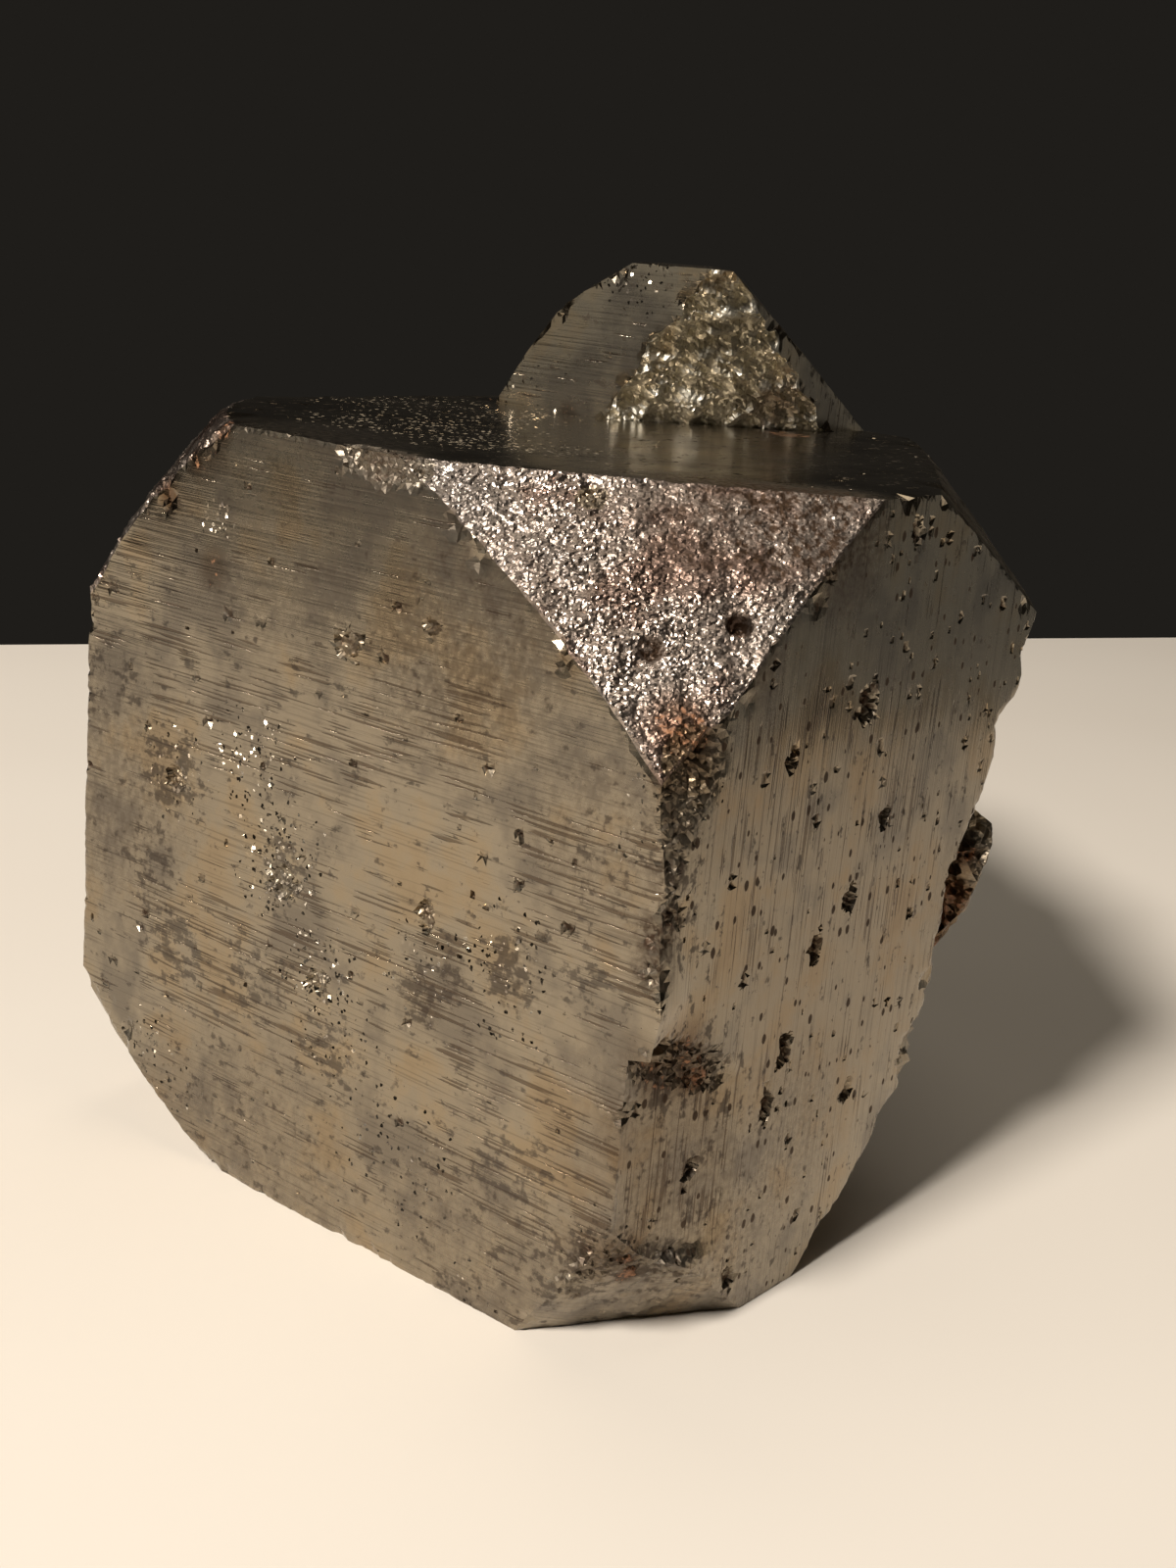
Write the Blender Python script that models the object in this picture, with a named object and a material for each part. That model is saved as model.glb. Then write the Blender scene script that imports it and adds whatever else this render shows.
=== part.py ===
"""Pyrite specimen: one large cube-shaped crystal with its corners cut off, a smaller
crystal grown into the back of its top, and knots of little crystals on its broken back.

They grew into each other, so they are joined in one solid. Each crystal is a set of flats.
The corners where three flats meet give its edges, every edge is divided once for both of
its flats, and each flat is filled with rows of points that run with its grain. Relief then
sinks every point square to the flats that it lies on: growth ledges, pits, grain and chips.

The working is in millimetres and the finished object in metres. +X is right, +Y is back and
+Z is up. The origin is under the middle of the object, at the height that it rests on.
"""

from itertools import combinations
from typing import NamedTuple

import bpy
import numpy as np
from mathutils.geometry import delaunay_2d_cdt

MM = 0.001
NODE = "pyrite_crystals"

# The large crystal: 75 mm wide and high, 84 mm deep
MAIN_LOW, MAIN_HIGH = (-37.5, -42.0, 0.0), (37.5, 42.0, 75.0)
RIGHT, FRONT = MAIN_HIGH[0], MAIN_LOW[1]

# Each cut corner: its side in x, y and z, and how far it reaches along the three edges
MAIN_CUTS = {
    "corner": ((1, -1, 1), (32.6, 26.8, 23.2)),
    "front_left_top": ((-1, -1, 1), (21.0, 21.0, 20.0)),
    "front_left_bottom": ((-1, -1, -1), (23.0, 22.0, 16.0)),
    "front_right_bottom": ((1, -1, -1), (11.6, 18.5, 15.8)),
    "back_right_top": ((1, 1, 1), (32.3, 48.0, 28.9)),
    "back_left_top": ((-1, 1, 1), (14.0, 16.0, 12.0)),
    "back_left_bottom": ((-1, 1, -1), (20.0, 18.0, 22.0)),
}
# Further flats: the way each one faces, and a point that it passes through
MAIN_FLATS = {
    "broken_back": ((0.60, 0.76, -0.245), (RIGHT, 14.7, 60.4)),
    "back_foot": ((0.42, 0.567, -0.655), (RIGHT, -15.0, 0.0)),
}

# The small crystal, sunk in the back of the top: 41 x 40 x 44 mm
SMALL_LOW, SMALL_HIGH = (-41.5, 10.0, 48.0), (-0.5, 50.0, 92.2)
SMALL_CUTS = {
    "left_top_steep": ((-1, -1, 1), (22.7, 75.0, 31.8)),
    "left_top_low": ((-1, -1, 1), (29.2, 55.0, 16.9)),
    "back_right_top": ((1, 1, 1), (33.0, 38.0, 22.3)),
    "back_left_bottom": ((-1, 1, -1), (12.0, 12.0, 12.0)),
}
SMALL_FLATS = {"broken_front": ((0.711, -0.462, -0.531), (-2.5, 10.0, 92.2))}

# The knots on the broken back: middle, width and turn about x, y and z in degrees
KNOTS = (
    ((32.0, 12.4, 36.0), 9.5, (20, 12, 30)),
    ((31.6, 10.2, 29.4), 7.0, (-25, 30, 10)),
    ((24.5, 17.5, 30.0), 7.0, (10, 50, 20)),
    ((6.0, 26.5, 31.0), 13.0, (15, -20, 40)),
)
KNOT_CUT = 0.28                 # of a knot's width, taken off each of its corners

# Growth combs, where the ledges crowd together: along the grain, across it, and their reach
FRONT_COMBS = (
    ((-5.0, 48.0), (14.0, 8.0), 5),
    ((27.0, 18.0), (18.0, 13.0), 9),
    ((-31.0, 57.0), (10.0, 7.0), 4),
    ((30.0, 42.0), (12.0, 10.0), 5),
    ((-14.0, 22.0), (24.0, 10.0), 6),
    ((9.0, 31.0), (20.0, 6.0), 4),
)
RIGHT_COMBS = (
    ((48.0, -24.0), (22.0, 12.0), 7),
    ((45.0, -8.0), (26.0, 11.0), 7),
    ((25.0, -17.0), (24.0, 14.0), 7),
    ((55.0, 5.0), (20.0, 10.0), 5),
)

# Pits: along the grain, across it, half length, half width and depth
FRONT_PITS = (
    (0.2, 57.5, 1.7, 1.4, 1.1),
    (10.2, 61.1, 1.2, 0.9, 0.8),
    (11.8, 35.4, 1.1, 1.3, 0.9),
    (-6.9, 33.0, 1.9, 1.5, 0.8),
    (-23.3, 39.5, 1.4, 1.8, 0.7),
    (12.0, 27.4, 2.2, 1.6, 0.7),
    (22.0, 33.0, 2.6, 1.0, 0.6),
    (-1.6, 24.6, 1.8, 1.2, 0.7),
)
RIGHT_PITS = (
    (56.7, -14.2, 1.7, 1.5, 1.2),
    (53.6, -25.3, 1.2, 0.8, 0.9),
    (38.0, -13.0, 1.4, 1.2, 1.2),
    (34.6, -18.0, 1.7, 1.0, 1.1),
    (25.4, -21.0, 1.6, 1.1, 1.1),
    (20.2, -23.2, 1.5, 0.9, 1.0),
    (17.0, -32.6, 1.1, 0.9, 0.9),
    (17.6, -9.0, 1.1, 0.8, 0.8),
    (4.5, -26.1, 1.5, 1.0, 1.0),
    (72.0, -9.5, 1.3, 0.7, 0.8),
    (45.0, -8.4, 1.2, 0.8, 0.9),
)
CORNER_HOLES = (((34.0, -30.7, 64.1), 1.5, 1.7), ((29.8, -36.7, 61.9), 1.3, 1.0))

# The sunk block at the foot of the right flat: its height, its reach from the front, its drop
BLOCK_LOW, BLOCK_HIGH, BLOCK_REACH, BLOCK_DROP = 8.0, 30.5, 13.0, 2.1
BLOCK_START = 1.15              # share of the drop that its slope starts from, held at one
BLOCK_RAGGED, BLOCK_LUMP = 0.8, 3.0  # unevenness of the block's upper end, and its size
# The low swelling of the edge just above the block
LIP_HEIGHT, LIP_HALF, LIP_REACH, LIP_RISE = 34.5, 5.0, 5.0, 0.9
# The narrow worn strip down the front right edge, under the corner
STRIP_LOW, STRIP_HIGH, STRIP_REACH, STRIP_DROP = 46.0, 55.5, 3.5, 1.9
PIT_FLOOR = 0.35                # of a pit's reach: inside this the pit has its full depth
HOLE_RIM, HOLE_FLOOR = 1.3, 0.7  # of a hole's radius: where it starts, and its full depth
LEDGE_TAPER = 0.2               # of a ledge's length, over which each end fades out

# Small pits: the least and the most half length, half width and depth
PIT_LEAST, PIT_MOST = (0.7, 0.45, 0.4), (1.4, 0.9, 0.9)

EDGE_STEP = 2.6                 # distance between points along an edge
JITTER = 0.22                   # of a row and a step, by which points leave their rows
SOFTENING = 0.04                # keeps a point between two nearly level flats from sliding far
CLEARANCE = 0.42                # of a row: how near a point inside may come to an edge
LEDGE_WALL = 0.07               # half the width of a ledge's steep side
CHIP_SPACING = 9.0              # average distance between chips along an edge
CHIP_REACH, CHIP_DEPTH = (1.2, 2.8), (0.25, 0.8)
WAVES = 24                      # sine waves in the uneven relief


class Finish(NamedTuple):
    """How a flat is filled and what relief it has, in millimetres."""

    row: float                  # distance between rows of points, across the grain
    step: float                 # distance between points along a row
    rough: float = 0.0          # depth of the uneven relief
    lump: float = 5.0           # width of one lump of it
    ledges: int = 0             # long low steps spread over the flat
    drop: float = 0.0           # the most that a ledge sinks or stands proud
    pits: int = 0               # small square-cornered pits spread over the flat
    dome: float = 0.0           # how far the middle of the flat stands proud


FACE = Finish(row=3.4, step=6.5, rough=0.10, lump=9.0, ledges=14, drop=0.45, pits=6)
HIDDEN_FACE = Finish(row=4.8, step=7.0, rough=0.16, lump=9.0, ledges=10, drop=0.55, pits=4)
GRAINY = Finish(row=1.6, step=1.75, rough=0.42, lump=2.2)
CUT = Finish(row=3.6, step=3.8, rough=0.22, lump=5.0, pits=2, dome=1.9)
SMALL_CUT = Finish(row=4.2, step=4.4, rough=0.22, lump=5.0, dome=0.4)
BROKEN = Finish(row=2.9, step=3.1, rough=1.05, lump=7.0)
COARSE = Finish(row=2.1, step=2.2, rough=0.75, lump=3.6)
RESTING = Finish(row=9.0, step=9.0)
KNOT_FACE = Finish(row=9.0, step=9.0, rough=0.25, lump=4.0)

MAIN_FINISH = {
    "front": FACE,
    "right": FACE,
    "top": FACE._replace(row=3.6, ledges=14, drop=0.30),
    "left": HIDDEN_FACE,
    "back": HIDDEN_FACE,
    "bottom": RESTING,
    "corner": GRAINY,
    "front_left_top": CUT,
    "front_left_bottom": CUT._replace(dome=2.3),
    "front_right_bottom": CUT._replace(row=2.2, step=2.2, rough=0.3, lump=3.0, dome=0.0),
    "back_right_top": CUT._replace(dome=0.9),
    "back_left_top": CUT,
    "back_left_bottom": CUT,
    "broken_back": BROKEN,
    "back_foot": BROKEN._replace(row=3.4, step=3.6, rough=0.4, dome=1.2),
}
SMALL_FINISH = {
    "front": FACE._replace(row=3.4, ledges=4, drop=0.25, pits=4),
    "left_top_steep": SMALL_CUT,
    "left_top_low": SMALL_CUT,
    "back_right_top": SMALL_CUT,
    "broken_front": COARSE,
}

# The way the growth grain runs: side to side, up and down, and front to back
GRAIN = {
    "front": (1, 0, 0), "back": (1, 0, 0),
    "left": (0, 0, 1), "right": (0, 0, 1),
    "top": (0, 1, 0), "bottom": (0, 1, 0),
}


def unit(vector):
    """The vector at length one."""
    vector = np.asarray(vector, dtype=float)
    return vector / np.linalg.norm(vector)


def crystal_flats(low, high, cuts, flats):
    """Every flat of a crystal: its name, the way it faces and its distance from the origin."""
    low, high = np.array(low), np.array(high)
    named = {}
    for axis, (near, far) in enumerate((("left", "right"), ("front", "back"), ("bottom", "top"))):
        facing = np.eye(3)[axis]
        named[near] = (-facing, -low[axis])
        named[far] = (facing, high[axis])
    for name, (side, legs) in cuts.items():
        side = np.array(side)
        slope = side / np.array(legs)
        reach = slope @ np.where(side > 0, high, low) - 1.0
        named[name] = (unit(slope), reach / np.linalg.norm(slope))
    for name, (facing, point) in flats.items():
        named[name] = (unit(facing), unit(facing) @ np.array(point))
    return named


def flat_corners(facing, distance):
    """The points where three flats meet with no other flat cutting them off, with those flats."""
    corners, owners = [], []
    for trio in combinations(range(len(facing)), 3):
        rows = facing[list(trio)]
        if abs(np.linalg.det(rows)) < 1e-6:
            continue
        point = np.linalg.solve(rows, distance[list(trio)])
        if np.all(facing @ point <= distance + 1e-6):
            corners.append(point)
            owners.append(trio)
    return np.array(corners), owners


def waves(points, size, seed):
    """A smooth uneven field of about -1 to 1: sine waves of about this size in random directions."""
    rng = np.random.default_rng(seed)
    directions = rng.normal(size=(WAVES, 3))
    directions /= np.linalg.norm(directions, axis=1, keepdims=True)
    lengths = size * rng.uniform(0.7, 1.5, WAVES)
    phases = rng.uniform(0, 2 * np.pi, WAVES)
    angles = points @ (directions * (2 * np.pi / lengths)[:, None]).T + phases
    return np.sin(angles).sum(axis=1) * np.sqrt(2 / WAVES) * 0.6


def spread_ledges(rng, middle, reach, count, drop):
    """Ledges in a rectangle: for each its two ends along the grain, its two sides and its drop."""
    if not count:
        return np.zeros((0, 5))
    along = middle[0] + reach[0] * rng.uniform(-0.5, 0.5, count)
    lanes = (rng.permutation(count) + rng.uniform(0.2, 0.8, count)) / count - 0.5
    across = middle[1] + reach[1] * lanes
    half_length = reach[0] * rng.uniform(0.12, 0.38, count)
    half_width = reach[1] / count * rng.uniform(0.15, 0.42, count)
    depth = drop * rng.uniform(0.35, 1.0, count) * rng.choice([-0.7, 1.0], count)
    return np.column_stack([along - half_length, along + half_length,
                            across - half_width, across + half_width, depth])


class Flat:
    """One flat of a crystal, with its own axes, its grain and its relief."""

    def __init__(self, name, facing, finish, outline, seed, extra=None):
        self.facing, self.finish, self.seed, self.extra = facing, finish, seed, extra or {}
        grain = np.array(GRAIN.get(name, np.cross((0.3, 0.2, 1.0), facing)), dtype=float)
        self.along = unit(grain - facing * (grain @ facing))
        across = np.cross(facing, self.along)
        # On a cube flat the second axis is +Z or +Y itself, so that features read as heights
        self.flip = -1.0 if name in GRAIN and across.sum() < 0 else 1.0
        self.across = across * self.flip
        self.middle = outline.mean(axis=0)
        self.reach = np.linalg.norm(outline - self.middle, axis=1).max()
        self.level = facing @ self.middle
        rng = np.random.default_rng(seed)
        spots = self.axes_of(outline)
        low, high = spots.min(axis=0), spots.max(axis=0)
        ledges = [spread_ledges(rng, (low + high) / 2, high - low, finish.ledges, finish.drop)]
        for middle, reach, count in self.extra.get("combs", ()):
            ledges.append(spread_ledges(rng, middle, np.array(reach), count, finish.drop))
        self.ledges = np.concatenate(ledges)
        places = rng.uniform(low, high, (finish.pits, 2))
        sizes = rng.uniform(PIT_LEAST, PIT_MOST, (finish.pits, 3))
        named = np.array(self.extra.get("pits", ())).reshape(-1, 5)
        self.pits = np.concatenate([named, np.column_stack([places, sizes])])

    def axes_of(self, points):
        """Where points lie on the flat: along its grain and across it."""
        return np.column_stack([points @ self.along, points @ self.across])

    def lift(self, spots):
        """The points in space that lie at these places on the flat."""
        return (spots[:, :1] * self.along + spots[:, 1:] * self.across
                + self.facing * self.level)

    def feature_spots(self):
        """Points along both sides of each ledge, and the corners of each pit at rim and floor."""
        spots = []
        for start, end, low, high, _ in self.ledges:
            run = np.linspace(start, end, max(3, int((end - start) / self.finish.step) + 2))
            for side in (low - LEDGE_WALL, low + LEDGE_WALL, high - LEDGE_WALL, high + LEDGE_WALL):
                inner = run[1:-1] if low < side < high else run
                spots.append(np.column_stack([inner, np.full(len(inner), side)]))
        square = np.array([(-1, -1), (1, -1), (1, 1), (-1, 1), (0, -1), (0, 1)])
        for pit in self.pits:
            for scale in (1.0, PIT_FLOOR):
                spots.append(pit[:2] + square * pit[2:4] * scale)
        return np.concatenate(spots) if spots else np.zeros((0, 2))

    def row_spots(self, low, high):
        """Points in rows along the grain, each row shifted a little against its neighbours."""
        rng = np.random.default_rng(self.seed + 1)
        row, step = self.finish.row, self.finish.step
        across = np.arange(low[1] + row / 2, high[1], row)
        along = np.arange(low[0], high[0] + step, step)
        grid = np.stack(np.meshgrid(along, across), axis=-1)
        grid[1::2, :, 0] += step / 2
        grid += rng.uniform(-JITTER, JITTER, grid.shape) * (step, row)
        return grid.reshape(-1, 2)

    def depth(self, points):
        """How far each point sinks below the flat."""
        finish, spots = self.finish, self.axes_of(points)
        depth = finish.rough * waves(points, finish.lump, self.seed)
        distance = np.linalg.norm(points - self.middle, axis=1)
        depth -= finish.dome * (1 - (distance / self.reach) ** 2)
        for start, end, low, high, drop in self.ledges:
            within = (spots[:, 1] > low) & (spots[:, 1] < high)
            taper = np.minimum(spots[:, 0] - start, end - spots[:, 0]) / (LEDGE_TAPER * (end - start))
            depth += drop * within * np.clip(taper, 0, 1)
        for along, across, half_length, half_width, hollow in self.pits:
            reach = np.abs((spots - (along, across)) / (half_length, half_width)).max(axis=1)
            depth += hollow * np.clip((1 - reach) / (1 - PIT_FLOOR), 0, 1)
        for place, radius, hollow in self.extra.get("holes", ()):
            reach = np.linalg.norm(points - place, axis=1) / radius
            depth += hollow * np.clip((HOLE_RIM - reach) / (HOLE_RIM - HOLE_FLOOR), 0, 1)
        if "shape" in self.extra:
            depth += self.extra["shape"](points)
        return depth


def right_shape(points):
    """The right flat's sunk block, which falls away towards the front, and its worn strip."""
    back, height = points[:, 1] - FRONT, points[:, 2]
    block_top = BLOCK_HIGH + BLOCK_RAGGED * waves(points, BLOCK_LUMP, 77)
    in_block = (height > BLOCK_LOW) & (height < block_top)
    block = BLOCK_DROP * in_block * np.clip(BLOCK_START - back / BLOCK_REACH, 0, 1)
    lip = np.clip(1 - np.abs(height - LIP_HEIGHT) / LIP_HALF, 0, 1)
    lip *= LIP_RISE * np.clip(1 - back / LIP_REACH, 0, 1) * (height > block_top)
    rise = np.clip((height - STRIP_LOW) / (STRIP_HIGH - STRIP_LOW), 0, 1)
    strip = STRIP_DROP * rise * np.clip(1 - back / STRIP_REACH, 0, 1)
    return block - lip + strip


def chips_on_edges(rng, corners, edges):
    """Chips along the edges: for each its middle, its reach and its depth."""
    chips = []
    for first, last in edges:
        length = np.linalg.norm(corners[last] - corners[first])
        for _ in range(rng.poisson(length / CHIP_SPACING)):
            place = corners[first] + (corners[last] - corners[first]) * rng.uniform()
            chips.append((*place, rng.uniform(*CHIP_REACH), rng.uniform(*CHIP_DEPTH)))
    return np.array(chips).reshape(-1, 5)


def chip_depth(points, chips):
    """How far the deepest chip near each point sinks it."""
    reach = np.linalg.norm(points[:, None] - chips[None, :, :3], axis=2) / chips[:, 3]
    return (np.clip(1 - reach, 0, 1) * chips[:, 4]).max(axis=1, initial=0.0)


def inside(spots, outline, clearance):
    """Which places lie inside a closed outline and at least this clear of it."""
    start, end = outline, np.roll(outline, -1, axis=0)
    run = end - start
    offset = spots[:, None] - start
    share = np.clip((offset * run).sum(-1) / (run ** 2).sum(-1), 0, 1)
    gap = np.linalg.norm(offset - share[..., None] * run, axis=-1).min(axis=1)
    rise = np.where(run[:, 1] == 0, 1e-12, run[:, 1])
    crossing = start[:, 0] + (spots[:, None, 1] - start[:, 1]) * run[:, 0] / rise
    straddles = (start[:, 1] > spots[:, None, 1]) != (end[:, 1] > spots[:, None, 1])
    return ((straddles & (spots[:, None, 0] < crossing)).sum(axis=1) % 2 == 1) & (gap > clearance)


def thin_out(spots, kept, distance):
    """The places that are further than this from every place already kept."""
    if not len(kept) or not len(spots):
        return spots
    gap = np.linalg.norm(spots[:, None] - kept[None], axis=2).min(axis=1)
    return spots[gap > distance]


def flat_triangles(outline, spots):
    """Triangles that fill an outline and use the places inside it."""
    places = [tuple(spot) for spot in np.concatenate([outline, spots])]
    found = delaunay_2d_cdt(places, [], [list(range(len(outline)))], 1, 1e-6)
    source = [origin[0] for origin in found[3]]
    return np.array([[source[corner] for corner in triangle] for triangle in found[2]])


def face_outwards(points, triangles, facing):
    """The same triangles, each turned to face the given way."""
    first, second, third = (points[triangles[:, corner]] for corner in range(3))
    backwards = np.cross(second - first, third - first) @ facing < 0
    triangles[backwards] = triangles[backwards][:, ::-1]
    return triangles


def grow_crystal(low, high, cuts, flats, finishes, plain, extras, seed):
    """One closed crystal: its points in millimetres and its triangles."""
    named = crystal_flats(low, high, cuts, flats)
    names = list(named)
    facing = np.array([named[name][0] for name in names])
    distance = np.array([named[name][1] for name in names])
    corners, owners = flat_corners(facing, distance)
    rng = np.random.default_rng(seed)

    loops = {}
    for index, name in enumerate(names):
        members = [number for number, trio in enumerate(owners) if index in trio]
        if len(members) < 3:
            continue
        middle = corners[members].mean(axis=0)
        right = unit(corners[members[0]] - middle)
        ahead = np.cross(facing[index], right)
        angles = [np.arctan2((corners[m] - middle) @ ahead, (corners[m] - middle) @ right)
                  for m in members]
        loops[index] = [members[place] for place in np.argsort(angles)]
    edges = sorted({tuple(sorted(pair)) for loop in loops.values()
                    for pair in zip(loop, loop[1:] + loop[:1])})
    chips = chips_on_edges(rng, corners, edges)
    surfaces = {index: Flat(names[index], facing[index], finishes.get(names[index], plain),
                            corners[loop], seed + 10 * index, extras.get(names[index]))
                for index, loop in loops.items()}

    def sink(points, index):
        """How far one flat's relief and the chips sink these points."""
        depth = surfaces[index].depth(points)
        return depth if names[index] == "bottom" else depth + chip_depth(points, chips)

    points, members = [*corners], [*owners]
    edge_points = {}
    for first, last in edges:
        count = max(1, round(np.linalg.norm(corners[last] - corners[first]) / EDGE_STEP))
        shares = np.arange(1, count) / count
        shared = tuple(set(owners[first]) & set(owners[last]))
        edge_points[first, last] = list(range(len(points), len(points) + count - 1))
        points += [corners[first] + (corners[last] - corners[first]) * share for share in shares]
        members += [shared] * (count - 1)
    flat_points = np.array(points)
    depths = np.zeros((len(points), len(names)))
    for index in loops:
        depths[:, index] = sink(flat_points, index)
    moved = flat_points.copy()
    for number, owner in enumerate(members):
        rows = facing[list(owner)]
        stiff = rows @ rows.T + SOFTENING * np.eye(len(rows))
        moved[number] -= rows.T @ np.linalg.solve(stiff, depths[number, list(owner)])
    # The points along an edge follow its two corners where these slide along it
    for (first, last), run in edge_points.items():
        way = unit(corners[last] - corners[first])
        slides = (moved[[first, last]] - corners[[first, last]]) @ way
        shares = np.arange(1, len(run) + 1) / (len(run) + 1)
        moved[run] += np.interp(shares, (0, 1), slides)[:, None] * way

    all_points, triangles = [moved], {}
    total = len(moved)
    for index, loop in loops.items():
        surface = surfaces[index]
        rim = []
        for first, last in zip(loop, loop[1:] + loop[:1]):
            run = edge_points[min(first, last), max(first, last)]
            rim += [first] + (run if first < last else run[::-1])
        outline = surface.axes_of(moved[rim])
        clearance = CLEARANCE * surface.finish.row
        special = surface.feature_spots()
        special = special[inside(special, outline, clearance)] if len(special) else special
        rows = surface.row_spots(outline.min(axis=0), outline.max(axis=0))
        rows = thin_out(rows[inside(rows, outline, clearance)], special, 0.5 * surface.finish.row)
        spots = np.concatenate([special, rows])
        flat = surface.lift(spots)
        own = flat - sink(flat, index)[:, None] * surface.facing
        numbers = np.array(rim + list(range(total, total + len(own))))
        found = numbers[flat_triangles(outline, spots)]
        all_points.append(own)
        total += len(own)
        triangles[names[index]] = face_outwards(np.concatenate(all_points), found, surface.facing)
    points = np.concatenate(all_points)
    # The group rests on the large crystal's bottom, so that is level and nothing lies lower
    points[np.unique(triangles["bottom"]), 2] = low[2]
    points[:, 2] = np.maximum(points[:, 2], low[2])
    return points, np.concatenate(list(triangles.values()))


def turned(points, middle, degrees):
    """Points turned about the three axes through a middle."""
    for axis, angle in enumerate(np.radians(degrees)):
        ahead, up = (axis + 1) % 3, (axis + 2) % 3
        turn = np.eye(3)
        turn[ahead, ahead] = turn[up, up] = np.cos(angle)
        turn[ahead, up], turn[up, ahead] = -np.sin(angle), np.sin(angle)
        points = (points - middle) @ turn.T + middle
    return points


def grow_knot(middle, width, turn, seed):
    """One little crystal of a knot, with all eight corners cut."""
    half = width / 2
    legs = (KNOT_CUT * width,) * 3
    sides = [(x, y, z) for x in (-1, 1) for y in (-1, 1) for z in (-1, 1)]
    cuts = {f"cut_{number}": (side, legs) for number, side in enumerate(sides)}
    low, high = np.array(middle) - half, np.array(middle) + half
    points, triangles = grow_crystal(low, high, cuts, {}, {}, KNOT_FACE, {}, seed)
    return turned(points, np.array(middle), turn), triangles


def pyrite_material():
    """Grey brass-coloured metal, worn to a soft shine."""
    material = bpy.data.materials.new("pyrite")
    material.use_nodes = True
    shader = material.node_tree.nodes["Principled BSDF"]
    shader.inputs["Base Color"].default_value = (0.50, 0.43, 0.31, 1.0)
    shader.inputs["Metallic"].default_value = 1.0
    shader.inputs["Roughness"].default_value = 0.38
    return material


def make_object(name, points, triangles, material):
    """A mesh object in metres from points in millimetres."""
    mesh = bpy.data.meshes.new(name)
    mesh.from_pydata((points * MM).tolist(), [], triangles.tolist())
    mesh.materials.append(material)
    made = bpy.data.objects.new(name, mesh)
    bpy.context.collection.objects.link(made)
    return made


def join(body, other):
    """Fuse another crystal into the body. The other one stays as a guide, out of the model."""
    other.hide_render = True
    other.display_type = "WIRE"
    fuse = body.modifiers.new(other.name, "BOOLEAN")
    fuse.operation = "UNION"
    fuse.solver = "EXACT"
    fuse.object = other


def main():
    """Grow every crystal, centre the group over the origin and join it in one solid."""
    for old in list(bpy.data.objects):
        bpy.data.objects.remove(old)

    extras = {
        "front": {"combs": FRONT_COMBS, "pits": FRONT_PITS},
        "right": {"combs": RIGHT_COMBS, "pits": RIGHT_PITS, "shape": right_shape},
        "corner": {"holes": CORNER_HOLES},
    }
    grown = [
        grow_crystal(MAIN_LOW, MAIN_HIGH, MAIN_CUTS, MAIN_FLATS, MAIN_FINISH, CUT, extras, 11),
        grow_crystal(SMALL_LOW, SMALL_HIGH, SMALL_CUTS, SMALL_FLATS, SMALL_FINISH,
                     HIDDEN_FACE._replace(ledges=5), {}, 503),
    ]
    grown += [grow_knot(*knot, 900 + 40 * number) for number, knot in enumerate(KNOTS)]

    everything = np.concatenate([points for points, _ in grown])
    middle = (everything.min(axis=0) + everything.max(axis=0)) / 2
    offset = np.array([middle[0], middle[1], 0.0])

    material = pyrite_material()
    names = [NODE, "small_crystal"] + [f"knot_{number}" for number in range(len(KNOTS))]
    made = [make_object(name, points - offset, triangles, material)
            for name, (points, triangles) in zip(names, grown)]
    for other in made[1:]:
        join(made[0], other)


main()
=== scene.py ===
# %% [markdown]
# # A pyrite crystal group
#
# Pyrite is a brass-coloured iron sulphide that grows as cubes. This group is one large cube with
# its corners cut off, a smaller crystal sunk in its top, and knots of little crystals on its
# broken back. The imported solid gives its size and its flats. Here it gets what makes it look like
# pyrite: fine growth lines that run one way on each face, square pits, a glittering grainy corner,
# coarse broken surfaces, dirt and rust.

from dataclasses import dataclass
from itertools import combinations

import bpy
import numpy as np
from mathutils import Matrix
from mathutils.geometry import delaunay_2d_cdt


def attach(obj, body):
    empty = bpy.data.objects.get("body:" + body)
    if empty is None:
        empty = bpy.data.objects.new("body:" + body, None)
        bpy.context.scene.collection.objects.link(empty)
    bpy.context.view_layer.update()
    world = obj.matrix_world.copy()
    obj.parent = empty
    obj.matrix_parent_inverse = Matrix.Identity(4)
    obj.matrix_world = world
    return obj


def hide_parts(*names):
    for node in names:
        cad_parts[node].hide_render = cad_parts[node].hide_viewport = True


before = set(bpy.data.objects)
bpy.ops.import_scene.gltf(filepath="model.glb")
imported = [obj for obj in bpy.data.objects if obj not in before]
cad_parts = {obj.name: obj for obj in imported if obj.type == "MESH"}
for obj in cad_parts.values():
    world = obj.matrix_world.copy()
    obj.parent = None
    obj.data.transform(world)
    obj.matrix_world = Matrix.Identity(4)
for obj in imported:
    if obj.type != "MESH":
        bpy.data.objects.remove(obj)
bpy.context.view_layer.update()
NODE = "pyrite_crystals"
MM = 0.001

# %% [markdown]
# ## The crystals' flats
#
# A crystal is given as its flats: six cube faces, and a plane across each cut corner, set by how
# far it reaches along the three edges. The numbers are the solid's, in millimetres, with the
# large crystal's middle over the zero point. The solid is centred on its whole group instead, so
# a finished mesh is moved by GROUP_MIDDLE.

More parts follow.
